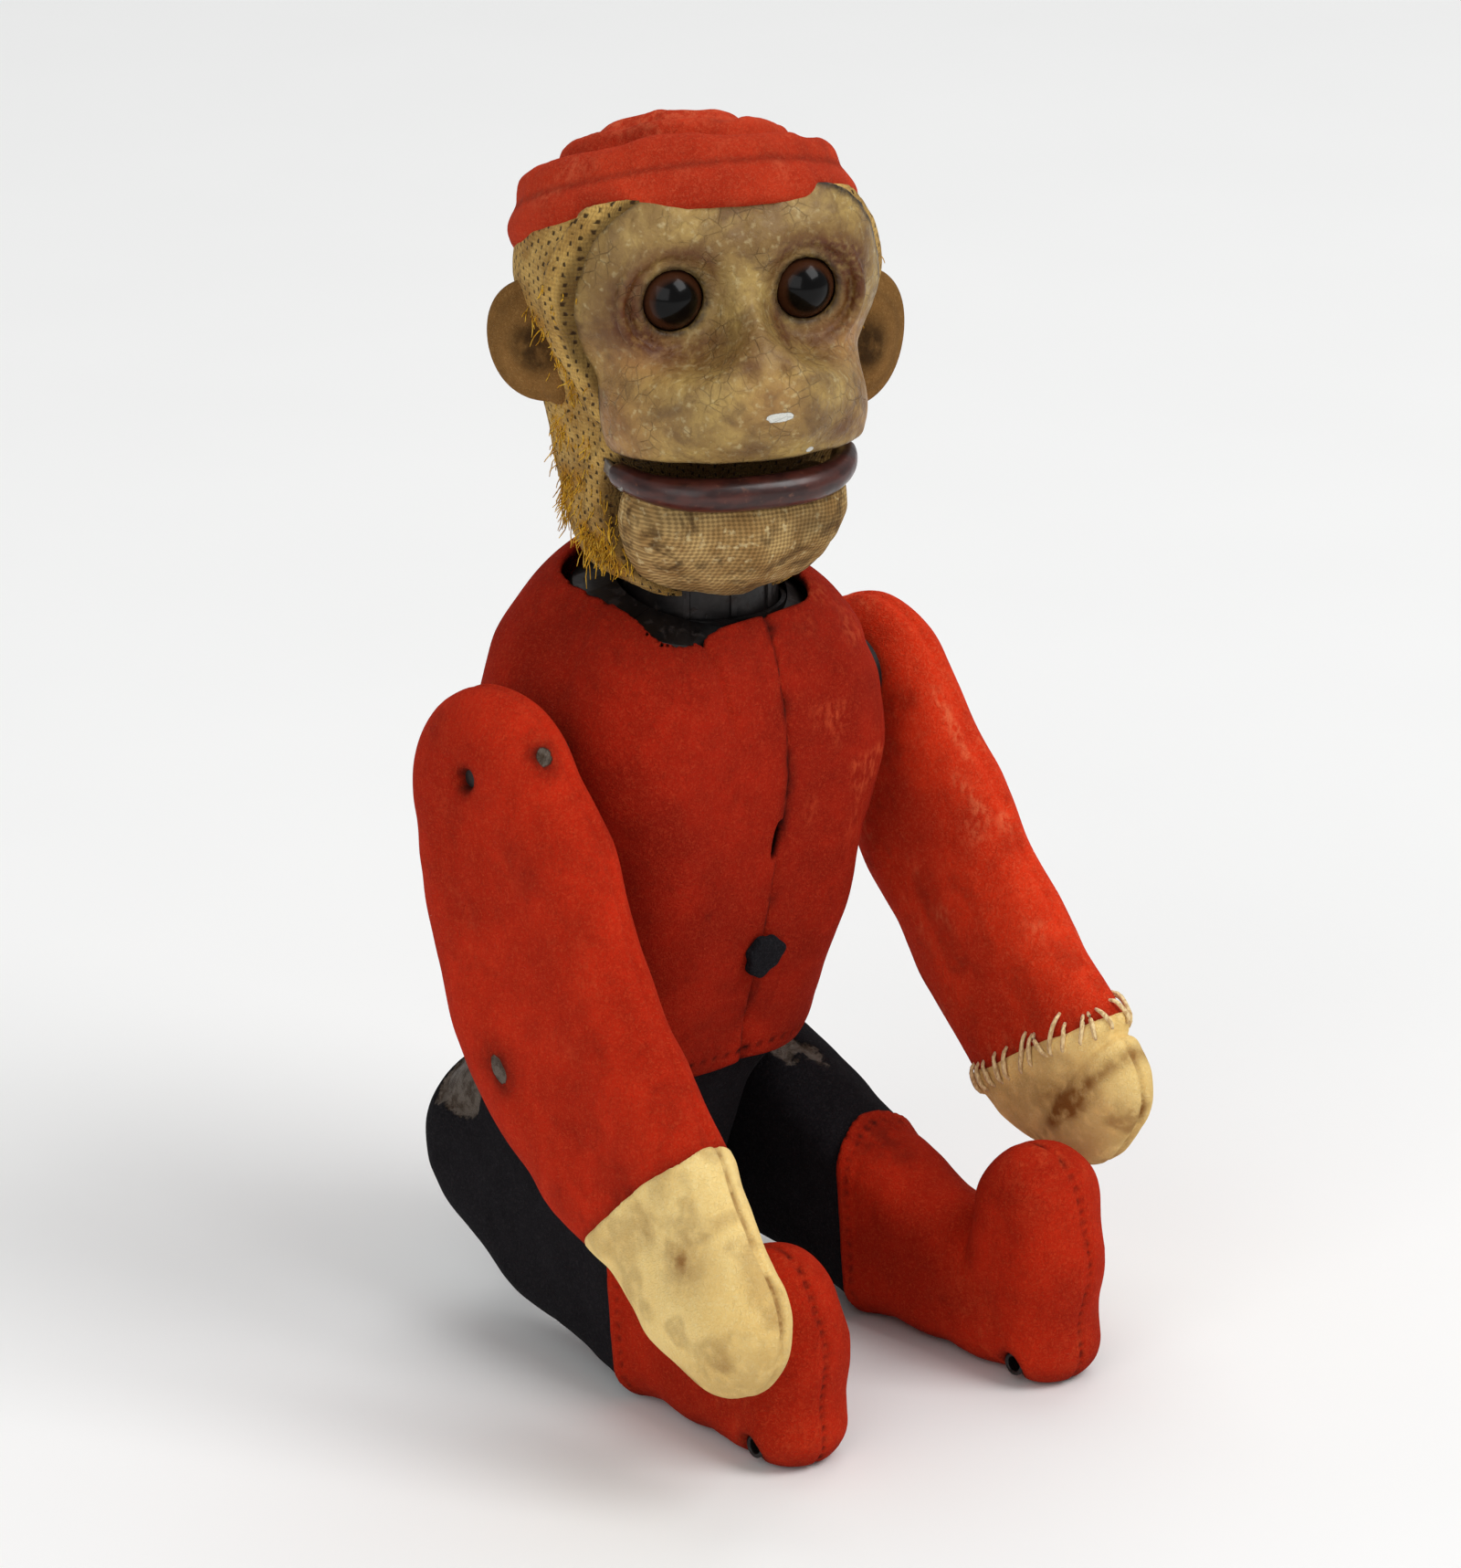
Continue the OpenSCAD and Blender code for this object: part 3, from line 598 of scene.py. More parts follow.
# A brighter copy of the sleeve felt for the left sleeve: painted light, because that arm lies in shade.
LIT_SLEEVE_LEFT = felt("sleeve_left_felt", (226, 56, 24), (168, 32, 13), (234, 112, 72), (56, 17, 11), 0.4)
BOOT_FELT = felt("boot_felt", (188, 39, 15), (130, 22, 8), (204, 80, 44), (54, 18, 13), 0.4)
CAP_FELT = felt("cap_felt", (200, 60, 32), (144, 32, 16), (214, 100, 66), (66, 20, 14), 0.3)
BLACK_FELT = felt("black_felt", (29, 27, 30), (13, 12, 14), (58, 54, 56), (9, 8, 9))
CREAM_FELT = felt("cream_felt", (252, 220, 146), (238, 196, 116), (254, 238, 184), (136, 86, 38), 0.4)
EAR_FELT = felt("ear_felt", (140, 100, 54), (102, 70, 35), (170, 132, 80), (36, 22, 12), 0.5)
BUTTON_FELT = felt("button_felt", (30, 30, 34), (16, 16, 18), (62, 62, 66), (10, 10, 10))
TIN = tinplate("tinplate", (150, 146, 140), (96, 90, 84), (86, 56, 38), 0.42)
DARK_TIN = tinplate("dark_tin", (34, 27, 25), (17, 14, 14), (34, 22, 17), 0.42, 0.4)
BRASS = tinplate("brass", (188, 150, 84), (136, 104, 54), (84, 62, 34), 0.36)
BLUE_STEEL = tinplate("blue_steel", (84, 92, 116), (48, 52, 70), (74, 54, 44), 0.3)
FACE_PAINT = face_paint()
PLUSH = woven_plush()
LINEN = linen()
LIP_PAINT = lip_paint()
EYE_GLASS = eye_glass()
MOHAIR = mohair()
THREAD = thread_look()
CAD_LOOKS = {"tinplate": TIN, "clock_brass": BRASS, "spring_steel": BLUE_STEEL, "neck_tin": DARK_TIN}


# ---- torso ----

# height, half width, half depth, corner radius, middle (front to back), forward tilt in degrees
TORSO = np.array([
    (0, 7.5, 8.5, 6, 1, 0),
    (8, 9.2, 11.5, 7.5, 0.8, 0),
    (30, 10.4, 15.4, 8.5, -2.6, 3),
    (37.5, 16.2, 16, 10, -4.9, 5),
    (52, 18.5, 16.4, 10.5, -8.3, 8),
    (73, 22.9, 16.7, 10.5, -10.7, 10),
    (82, 20.8, 16.2, 10.5, -11.5, 12),
    (90, 15.9, 13.6, 10, -12.1, 13),
    (93, 11.9, 12, 9.5, -12.6, 13),
])
LEVELS = np.arange(-10, 110, 0.5)
SPREAD = np.exp(-(np.arange(-8, 9) / 5) ** 2)


def eased(values):
    """The table's column at every level, with its corners rounded."""
    dense = np.interp(LEVELS, TORSO[:, 0], values)
    return np.convolve(np.pad(dense, 8, "edge"), SPREAD / SPREAD.sum(), "valid")


PROFILE = [eased(TORSO[:, c]) for c in range(1, 6)]
HEM = 35.2
FELT = 1.2


def torso_level(p):
    """Height along the leaning body."""
    x, y, z = p.T
    level = z
    for _ in range(3):
        centre = np.interp(level, LEVELS, PROFILE[3])
        lean = np.tan(np.radians(np.interp(level, LEVELS, PROFILE[4])))
        level = z - (y - centre) * lean
    return level


def rounded_box(x, y, half_x, half_y, radius):
    """Distance to a rounded rectangle about the origin."""
    q = np.stack([np.abs(x) - half_x + radius, np.abs(y) - half_y + radius], 1)
    return np.linalg.norm(np.maximum(q, 0), axis=1) + np.minimum(q.max(1), 0) - radius


def torso(p, level, grow=0):
    a, b, r, centre = (np.interp(level, LEVELS, column) for column in PROFILE[:4])
    return rounded_box(p[:, 0], p[:, 1] - centre, a + grow, b + grow, r)


def seam_x(level):
    """The jacket's front opening, a slightly wavy line."""
    return 0.6 + 0.9 * np.sin((level - 58) / 9)


def hem_thread(p):
    """1 on each stitch along the jacket's hem, -1 between them."""
    return np.sin(p[:, 0] * 3.4 + p[:, 1] * 3.1)


def jacket_field(p):
    x, y, z = p.T
    level = torso_level(p)
    front = ramp(-y, 8, 16)
    grow = 0.15 + 0.55 * ramp(-level, -41, -HEM) + 0.22 * noise(p, 9, 1) + 0.1 * noise(p, 3.5, 2)
    off_seam = x - seam_x(level)
    away = np.abs(off_seam)
    lap = np.where(off_seam > 0, -0.45 * np.exp(-away / 2.2), 0.18 * np.exp(-away / 1.6))
    grow += front * (lap - 0.25 * bell(off_seam, 0.3))
    grow -= 0.3 * bell(level - HEM - 1.9, 0.28) * (0.45 + 0.55 * hem_thread(p))
    pleat = (x + 7.2) - 0.25 * (84 - level)
    grow -= front * 0.5 * bell(pleat, 0.45) * ramp(level, 78, 84)
    grow += 0.5 * ramp(level, 84, 88) * front
    shoulder = ramp(level, 80, 86) * ramp(np.abs(x), 8, 11)
    grow += shoulder * (0.35 * ramp(-y - 13.5, -0.3, 0.3) - 0.35 * bell(y + 13.8, 0.5))
    outer = meet(torso(p, level, grow), level - 93.2, 3)
    shell = meet(outer, -(outer + FELT), 0.4)
    wobble = 0.35 * noise(p, 5, 6)
    shell = meet(shell, HEM + wobble - level, 0.5)
    hole = rounded_box(x + 1.7, y - NECK_Y - 0.5, 11.8, 10.7, 4.5)
    hole = meet(hole + wobble, 80 - z, 0.5)
    shell = meet(shell, -hole, 0.6)
    slit = np.hypot((x - seam_x(level) + 0.5) / 0.75, (level - 65.5) / 2.6) - 1
    return meet(shell, -np.where(y < -15, slit, 9), 0.4)


def jacket_stain_and_shade(p):
    x, y, z = p.T
    level = torso_level(p)
    front = ramp(-y, 10, 18)
    # seam and line darken along the front opening, and low darkens the jacket lower down.
    seam = bell(x - seam_x(level) - 0.3, 1) * patchy(p, 3, 31, -0.3, 0.6)
    line = bell(x - seam_x(level), 0.22) * 0.9
    low = 0.5 * ramp(-level, -58, -42) * patchy(p, 7, 35, -0.5, 0.7)
    hem = 0.9 * bell(level - HEM - 1.9, 0.3) * ramp(hem_thread(p), -0.2, 0.5)
    # neck is painted shade on the felt round the neck, under the head, and inner is painted shade on the inside
    # face of the felt.
    neck = 0.55 * ramp(level, 84, 91)
    inner = ramp(-torso(p, level), 0.9, 1.1)
    return front * (seam * 0.75 + line) + low * 0.6 + hem + neck * 0.5 + inner * 0.8


def jacket_scuff(p):
    left = ramp(p[:, 0], 3, 8) * ramp(p[:, 2], 55, 66)
    return left * patchy(p, 4, 41, 0.1, 0.6) * 0.7


def jacket():
    form(
        "jacket_felt", jacket_field, (-24.5, -30, 32), (24.5, 14, 98), WORLD, "torso",
        SHADED_RED_FELT, ["jacket"], {"stain_and_shade": jacket_stain_and_shade, "scuff_and_light": jacket_scuff},
    )


def trousers_field(p):
    level = torso_level(p)
    folds = 0.12 * noise(p, 8, 3) + 0.06 * noise(p, 3, 4)
    body = meet(torso(p, level, folds - 0.82), level - HEM - 3, 1)
    return meet(body, -p[:, 2], 1.2)


def trousers():
    form(
        "trouser_seat_felt", trousers_field, (-17, -24, 0), (17, 15, 44), WORLD, "torso",
        BLACK_FELT, ["trousers_seat"], step=0.6,
    )


def button():
    """A small round of felt, cut by hand."""
    centre = middle("jacket_button")
    lean = turn("X", 15.6)

    def field(p):
        x, y, z = p.T
        angle = np.arctan2(z, x)
        radius = 2.65 + 0.22 * np.sin(3 * angle + 1) + 0.14 * np.sin(7 * angle)
        rim = np.hypot(x, z) - radius
        dome = y - 0.1 * noise(p, 1.2, 7)
        return meet(rim, np.abs(dome) - 0.6, 0.4)

    form(
        "button_felt", field, (-3.4, -1, -3.4), (3.4, 1, 3.4), Place(centre, lean), "torso",
        BUTTON_FELT, ["jacket_button"], step=0.22,
    )


# ---- arms ----

# distance down the arm, offset to the rear, half width
ARM_RIGHT = [
    (2, 1.2, 12.7), (13, 3.6, 14.2), (24, 6.3, 14.7), (33, 6.7, 14.2), (43, 4.6, 12.9), (52, 1.8, 10.6),
    (62, 1.1, 9.6), (66.8, -0.4, 8.7),
]
ARM_LEFT = [
    (2.4, 3.6, 12.1), (20, 4.1, 12.6), (35, 3, 12.1), (46, 1, 11.5), (50.5, -0.2, 11.6), (50.8, 5.2, 6.4),
    (56.6, -1, 6.3), (56, -7.4, 6),
]
ARM_EDGE = 8.5
low_corner, high_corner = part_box("sleeve_right")
ARM_HALF = (high_corner.x - low_corner.x) / 2 / MM


def arm_shape(p, stations, grow=0):
    x, y, z = p.T
    inside = -outline(np.stack([-z, y], 1), stations, 4) + grow
    return pillow(x, inside, ARM_HALF - 0.1 + grow, ARM_EDGE), inside


def whip_stitches(place, field, wrist):
    """Uneven stitches of thick thread over the edge between sleeve and mitten."""
    chance = np.random.default_rng(5)
    paths, lift = [], 0.35 - 0.75 * np.linspace(-1, 1, 9) ** 4
    for angle in np.linspace(0, 2 * math.pi, 30, endpoint=False):
        angle += chance.uniform(-0.06, 0.06)
        slant = chance.uniform(-0.9, 0.9)
        along = np.linspace(-chance.uniform(1.6, 3.4), chance.uniform(0.9, 1.5), 9)
        bow = chance.uniform(-0.4, 0.4) * (1 - np.linspace(-1, 1, 9) ** 2)
        path = np.stack([
            5.2 * np.cos(angle) + 0 * along, 0.4 + 11.6 * np.sin(angle) + slant * along + bow, -wrist - along
        ], 1)
        path = settle(field, path, 2, 6)
        way = slope(field, path)[1]
        paths.append(path + lift[:, None] * way / np.linalg.norm(way, axis=1)[:, None])
    points, faces = strands(paths, 0.3, 6)
    mesh_piece("wrist_whip_stitches", points, faces, place, "arms", THREAD, ["wrist_stitches"])


# on the right sleeve: the shaft's hole, as (y, z), and the two spots where the felt is worn through
SHAFT_HOLE = (0.2, 0.3)
ELBOW_SPOT = (-4.6, 13.4, -30)
SHOULDER_SPOT = (-2.2, -10.6, -1.8)


def arm(side, word, stations, wrist):
    right = side < 0
    place = arm_place(side, "hand_" + word)
    tip = max(station[0] + station[2] for station in stations)

    def wrist_line(p):
        """Above 0 past the end of the sleeve, which slopes and wavers."""
        return -p[:, 2] - wrist - (0.1 if right else -0.03) * p[:, 1] - 0.5 * noise(p, 4, 11)

    def from_shaft(p):
        return np.hypot(p[:, 1] - SHAFT_HOLE[0], p[:, 2] - SHAFT_HOLE[1])

    def sleeve_field(p):
        x = p[:, 0]
        lumps = 0.28 * noise(p, 9, 5 + side) + 0.12 * noise(p, 3.5, 6)
        body, inside = arm_shape(p, stations, lumps)
        body += 0.3 * bell(x, 0.4) * ramp(-inside, -3, 0)
        body = meet(body, wrist_line(p), 0.7)
        if right:
            dent = from_shaft(p)
            body += np.where(x < 0, bell(dent, 1.4) + 3.2 * bell(dent, 0.75), 0)
        return body

    def hand_field(p):
        x, y, z = p.T
        lumps = 0.25 * noise(p, 6, 9 + side) + 0.12 * noise(p, 2.4, 8)
        cuff = 0.35 * ramp(-wrist_line(p), -4, 0)
        body, inside = arm_shape(p, stations, lumps - 0.1 + cuff)
        body += 0.35 * bell(x, 0.4) * ramp(-inside, -3, 0)
        if not right:
            thumb_fold = -z - 55.5 - 0.35 * y
            body += 0.7 * bell(thumb_fold, 0.9) * ramp(-y, -8, 4)
        return meet(body, -1 - wrist_line(p), 0.6)

    def sleeve_stain_and_hole_shade(p):
        blots = 0.55 * patchy(p, 5, 51 + side, 0.25, 0.7) + 0.3 * patchy(p, 2.2, 53, 0.3, 0.7)
        dirt_and_shade = 0.6 * bell(wrist_line(p), 1.6) + blots * (0.35 if right else 0.45)
        if right:
            # Painted shade: the shaft's hole is darkened, and the rims of the two worn holes are darkened, partly
            # soil and partly painted shade of the holes.
            dirt_and_shade += 1.4 * bell(from_shaft(p), 1.5) * (p[:, 0] < 0)
            dirt_and_shade += spot(p, ELBOW_SPOT, (2.6, 2.1, 3)) + spot(p, SHOULDER_SPOT, (1.5, 1.5, 2))
        return dirt_and_shade

    def sleeve_scuff_and_left_light(p):
        streaks = ramp(noise(p * [1, 1, 0.4], 1.3, 62), 0, 0.7)
        # The left sleeve pales far more than the right: wear, and painted light on an arm that lies in shade.
        return (0.2 if right else 0.8) * patchy(p, 7, 61 + side, -0.3, 0.5) * streaks

    def sleeve_bare(p):
        glint = 0.7 * spot(p, SHOULDER_SPOT, (1.5, 0.9, 1.5))
        elbow = 0.85 * spot(p, ELBOW_SPOT, (2.6, 1.1, 2))
        return 1.3 * np.maximum(glint, elbow) * right

    def hand_stain_and_fold_shade(p):
        x, y, z = p.T
        seam = 0.8 * bell(x, 0.3) * patchy(p, 3, 71, -0.6, 0.3)
        rim = 0.35 * ramp(noise(p, 4, 72) + 0.4 * noise(p, 1.6, 73), 0.1, 0.7)
        tip_dirt = 0.4 * ramp(-z, tip - 9, tip)
        patch_and_fold_shade = 0.6 * spot(p, (-3.5, -2, -60) if right else (-3, -3, -56), (5, 3.4, 3))
        if not right:
            # Painted shade: a dark band under the left mitten's thumb fold.
            patch_and_fold_shade += 0.7 * bell(-z - 57.5 - 0.25 * y, 1.1) * ramp(-y, -7, 3)
        return seam + rim + tip_dirt + patch_and_fold_shade

    if not right:
        whip_stitches(place, lambda p: arm_shape(p, stations, 0.3)[0], wrist)
    half = ARM_HALF + 1
    form(
        f"sleeve_{word}_felt", sleeve_field, (-half, -14, -wrist - 5), (half, 23, 16), place, "arms",
        SLEEVE_RIGHT if right else LIT_SLEEVE_LEFT, ["sleeve_" + word, "arm_core_" + word],
        {"stain_and_shade": sleeve_stain_and_hole_shade, "scuff_and_light": sleeve_scuff_and_left_light, "bare": sleeve_bare},
    )
    form(
        f"mitten_{word}", hand_field, (-half, -15, -tip - 1), (half, 17, -wrist + 5), place, "arms",
        CREAM_FELT, ["hand_" + word], {"stain_and_shade": hand_stain_and_fold_shade}, step=0.4,
    )


# ---- legs ----

# distance forward of the hip, height above the floor, half width
THIGH = [(0, 21.8, 12.4), (10, 17.2, 12.6), (27, 10.9, 10.4), (38, 8.6, 8.4), (46, 7.1, 7)]
FOOT_RIGHT = [(51.6, 4.2, 4.2), (48.6, 13, 7.5), (47.4, 17.6, 7)]
FOOT_LEFT = [(54.4, 4.2, 4.2), (51.8, 14, 7.6), (51.5, 20.9, 7.2)]
BOOT_FROM = 25.6


def heel_at(word):
    """Distance forward and height of the small rivet near the corner of the heel."""
    heel = middle("heel_rivet_" + word)
    return math.hypot(heel[1], abs(heel[0]) - abs(joint_at("left_hip_turn")[0])) + 1.6, heel[2] - 1.3


def leg_shape(p, side, grow):
    x, y, z = p.T
    chain = THIGH + (FOOT_RIGHT if side < 0 else FOOT_LEFT)
    inside = -outline(np.stack([-y, z], 1), chain, 2.2) + grow
    return pillow(x, inside, 6.4 + grow, 5.2), inside


# on the right leg: where the trousers are worn through over the hip
HIP_SPOT = (-6, 3.2, 29.8)


def leg(side, word):
    right = side < 0
    place = leg_place(side)
    heel = heel_at(word)

    def hem_line(p):
        """Above 0 ahead of the boot's top edge."""
        return -p[:, 1] - BOOT_FROM + 0.1 * (p[:, 2] - 12) - 0.35 * noise(p, 5, 14)

    def hem_stitches(p):
        return np.sin(p[:, 2] * 4 + p[:, 0] * 4)

    def from_toe_seam(p):
        return p[:, 0] - 0.3 * noise(p, 6, 17)

    def from_rivet(p):
        return np.hypot(p[:, 1] + heel[0], p[:, 2] - heel[1])

    def bare(p):
        if right:
            return 1.2 * spot(p, HIP_SPOT, (7, 5.4, 3.6)) + 0.3 * noise(p, 1.8, 81) * spot(p, HIP_SPOT, 9)
        x, y, z = p.T
        top_edge = bell(x + 1.5, 3) * ramp(z, 24, 30) * ramp(-y, 1, 6)
        return top_edge * (0.75 + 0.5 * noise(p, 2.5, 83))

    def trouser_field(p):
        lumps = 0.3 * noise(p, 8, 15 + side) + 0.14 * noise(p, 3, 16)
        body, inside = leg_shape(p, side, lumps - 0.15)
        body += 0.55 * ramp(bare(p), 0.45, 0.6)
        return meet(meet(body, hem_line(p) - 1.5, 0.5), -p[:, 2], 0.8)

    def boot_field(p):
        x, y, z = p.T
        lumps = 0.25 * noise(p, 9, 19 + side) + 0.1 * noise(p, 3, 18)
        cuff = 0.4 * ramp(-hem_line(p), -3, 0)
        body, inside = leg_shape(p, side, lumps + cuff)
        body += 0.32 * ramp(-y, 42, 47) * bell(from_toe_seam(p), 0.35) * ramp(-inside, -4, 0)
        for away in (1.5, 2.6):
            body += 0.14 * bell(hem_line(p) - away, 0.25) * (0.5 + 0.5 * hem_stitches(p))
        body = meet(meet(body, -hem_line(p), 0.5), -z, 0.8)
        return meet(body, 1.5 - from_rivet(p), 0.7)

    def boot_stain(p):
        x, y, z = p.T
        seam = ramp(-y, 43, 48) * bell(from_toe_seam(p), 0.3) * ramp(np.sin(z * 5), -0.6, 0.2)
        stitches = bell(hem_line(p) - 1.5, 0.3) * ramp(hem_stitches(p), -0.2, 0.4)
        # rivet_edge darkens a ring round the rivet's hole, and floor darkens the bottom 4 mm of the boot.
        rivet_edge = bell(from_rivet(p) - 1.5, 0.8)
        top = 0.7 * spot(p, (-2, -30, 23), (4, 6, 3))
        floor = 0.45 * ramp(-z, -4, 0)
        return seam * 0.85 + stitches * 0.6 + rivet_edge * 0.6 + top + floor

    def boot_scuff(p):
        toe = spot(p, (0, -52, 29), (7, 7, 5)) + spot(p, (-5, -48, 5), (3, 5, 4))
        return 0.55 * toe * patchy(p, 1.3, 92, -0.2, 0.6) + 0.2 * patchy(p, 6, 91, 0.2, 0.8)

    def rivet_field(p):
        return meet(np.abs(from_rivet(p) - 1.15) - 0.25, np.abs(p[:, 0]) - 5.4, 0.15)

    body = "leg_" + word
    low, high = (-6, -heel[0] - 2, heel[1] - 2), (6, -heel[0] + 2, heel[1] + 2)
    form(
        "heel_tube_" + word, rivet_field, low, high, place, body, DARK_TIN,
        ["heel_rivet_" + word], step=0.25,
    )
    form(
        f"trouser_{word}_felt", trouser_field, (-8, -32, 0), (8, 15, 37), place, body,
        BLACK_FELT, ["trouser_leg_" + word], {"bare": bare},
    )
    form(
        f"boot_{word}_felt", boot_field, (-8, -60, 0), (8, -21, 33), place, body,
        BOOT_FELT, ["boot_" + word], {"stain_and_shade": boot_stain, "scuff_and_light": boot_scuff},
    )


# ---- head, in its own frame: the face looks along -Y, with the neck's axis at X 0, Y 0 ----

EYE = HEAD.rotation.T @ (middle("eye_left") - HEAD.origin)
EYE_RADIUS = 4
JAW_PIVOT = (HEAD.rotation.T @ (joint_at("jaw_open") - HEAD.origin))[1:]
MOUTH_Z = 111.6
# where the cap sits, and how far it tilts back in degrees
CAP_SEAT = np.array([-1.2, 2.6, 132.2])
CAP_TILT = -24
CAP_UP = turn("X", CAP_TILT)[:, 2]


def under_cap(whole, p):
    """Takes away what would reach up into the cap."""
    return meet(whole, (p - CAP_SEAT) @ CAP_UP - 1.5, 0.5)


def skull_field(p, grow=0):
    q = both_sides(p)
    whole = cone(p, (0, 3, 127.5), (0, 0.5, 103.4), 20.9, 15.6)
    whole = join(whole, ball(q, (6.2, -1.5, 130), 14.6), 3)
    high = ramp(p[:, 2], 104, 116)
    behind = ramp(y_behind(p), 2, 7)
    return whole - grow + high * (0.7 * behind + ramp(p[:, 0], 0, 12) * (1.3 - 0.3 * behind))


def y_behind(p):
    """How far a point lies behind the folded edge of the plush."""
    return p[:, 1] - hair_line(p[:, 2])


def face_field(p):
    q = both_sides(p)
    x, y, z = q.T
    brow = cone(q, (0, -4.6, 128.8), (7.9, -4, 128.8), 11.5)
    brow = join(brow, cone(q, (0, -5, 135), (7.4, -4.4, 135), 9.7), 4)
    brow = join(brow, cone(q, (0, -6, 120.4), (5.2, -6, 120.4), 9.8), 4)
    brow = join(brow, cone(q, (2.5, -13.3, 134), (12, -10, 133.8), 2.7), 3)
    muzzle = cone(q, (0, -12.9, 115.6), (6.9, -12.3, 115.2), 8.4)
    muzzle = join(muzzle, cone(q, (0, -17.3, 118.8), (2.8, -17, 118.4), 7.4), 4)
    muzzle = join(muzzle, cone(q, (0, -8.2, 127.4), (0, -16.5, 119.5), 7.2, 7.6), 3)
    whole = join(brow, muzzle, 3)
    whole = meet(whole, -ball(q, (EYE[0] + 0.5, -19.6, EYE[2] - 0.3), 6.9), 2.4)
    ring = np.hypot(x - EYE[0], z - EYE[2])
    lid = np.hypot(ring - 4.2, y + 13.6) - 0.85
    whole = join(whole, lid, 0.8)
    fold = np.hypot(np.hypot(x - EYE[0], z - EYE[2] + 0.4) - 6.3, y + 14.4) - 0.6
    whole = join(whole, fold, 0.9)
    whole = meet(whole, -ball(q, EYE, EYE_RADIUS + 0.12), 0.3)
    whole = meet(whole, -ball(q, (2.1, -24.9, 122), 1), 0.8)
    whole += 0.12 * noise(p, 4, 23) + 0.06 * noise(p, 1.3, 24)
    whole = under_cap(whole, p)
    whole = meet(whole, y_behind(p) - 1.1, 0.6)
    return meet(whole, MOUTH_Z + 0.15 * noise(p, 3, 25) - z, 0.7)


def hair_line(z):
    """How far forward the plush reaches at each height: its folded edge frames the mask."""
    return np.interp(z, (88, 93, 97, 103, 108, 110.5, 113, 117, 122, 129, 135, 141),
                     (-10, -9.5, -7.6, -6.8, -8, -10.4, -11.4, -10.6, -8.8, -9.8, -11, -12.6))


def plush_field(p):
    y, z = p[:, 1], p[:, 2]
    behind = y - hair_line(z)
    folded = ramp(-behind, -3.5, -3.1) * ramp(z, 113.5, 114.5)
    grow = -0.1 + 0.8 * folded - 0.3 * bell(behind - 3.8, 0.4)
    whole = skull_field(p, grow + 0.2 * noise(p, 5, 26) + 0.1 * noise(p, 1.8, 27))
    whole = meet(whole, -behind, 0.8)
    base = 95.1 + 0.3 * y + 0.5 * noise(p, 2.2, 28)
    whole = meet(whole, base - z, 0.8)
    neck = np.hypot(p[:, 0], y) - 10.4
    whole = under_cap(whole, p)
    return meet(whole, -meet(neck, z - 98, 0.5), 0.5)


def gold_mask(p):
    """Where mohair is left: by the ears, down the cheeks and along the jaw."""
    z = p[:, 2]
    behind = p[:, 1] - hair_line(z)
    strip = ramp(behind, 2.5, 5.5) * ramp(-behind, -15, -10)
    cheek = bell(z - 107, 13) * strip + 0.8 * bell(z - 127, 5) * bell(behind - 8, 4)
    jaw = bell(z - 97, 5) * ramp(behind, -1, 1)
    return np.clip(cheek + jaw, 0, 1) * ramp(noise(p, 3, 29) + 0.4 * noise(p, 1.2, 30), -0.35, 0.5)


def mohair_strands(cloth):
    """What is left of the fur: golden strands that lie down the cheeks and hang from the jaw."""
    chance = np.random.default_rng(11)
    x, y, z = cloth.T
    behind = y - hair_line(z)
    corner = spot(cloth, (-12, -4, 98), (5, 6, 5))
    chosen = chance.random(len(cloth)) < 0.75 * gold_mask(cloth) * (0.15 + 0.85 * (x < 0)) + 0.35 * corner
    clear = (np.hypot(x, y) > 12.5) & (z > 96.5 + 0.45 * np.maximum(y, 0))
    roots = cloth[chosen & clear & (z < 131) & (behind > -0.6)]
    way = slope(skull_field, roots)[1]
    way /= np.linalg.norm(way, axis=1)[:, None]
    lie = np.array([0, -0.2, -1]) - way * (way @ [0, -0.2, -1])[:, None]
    low = spot(roots, (-12, -4, 97), (7, 8, 5))
    length = chance.uniform(0.7, 1.9, len(roots)) * (1 + 0.8 * low * chance.random(len(roots)) ** 2)
    curl = chance.normal(0, 0.3, (len(roots), 3))
    along = np.linspace(0, 1, 6)[None, :, None]
    reach = length[:, None, None]
    stand = (0.42 + 0.25 * low)[:, None, None]
    paths = roots[:, None] - 0.1 * way[:, None] + reach * (
        along * (0.75 * lie + curl)[:, None] + along * stand * way[:, None] + along**2 * [0, 0, -0.2]
        + 0.08 * np.sin(along * 5 + chance.uniform(0, 6, (len(roots), 1, 3)))
    )
    points, faces = strands(paths, 0.08, 3)
    mesh_piece("mohair_strands", points, faces, HEAD, "head", MOHAIR)


def face_stain_and_socket_shade(p):
    x, y, z = p.T
    ring = np.hypot(np.abs(x) - EYE[0], z - EYE[2])
    # socket is painted shade: a dark ring round each eye socket, kept off the bridge of the nose.
    socket = 0.75 * bell(ring - 5.6, 1.6) * ramp(-y, 8, 11) * ramp(np.abs(x), 1.5, 4.5)
    brow = 0.55 * ramp(z, 130, 139) * patchy(p, 4, 33, -0.5, 0.5) * ramp(x, -12, 4)
    nostril = 0.9 * spot(both_sides(p), (2.1, -24.2, 123.4), 1.2)
    return socket + brow + nostril + spots(
        p,
        (1, (12.5, -12, 131.5), (3.4, 6, 4)),
        (0.45, (4.4, -15, 127), (0.9, 5, 4)),
        (0.6, (-12, -12, 125.5), (4, 6, 3)),
        (0.5, (-13.5, -10, 129), (3, 6, 4)),
        (0.95, (9.5, -19.5, 114.5), (3, 5, 2.2)),
        (0.5, (13, -14, 118), (2.5, 6, 3)),
        (0.45, (-1, -23, 125.5), (3, 4, 1.5)),
    )


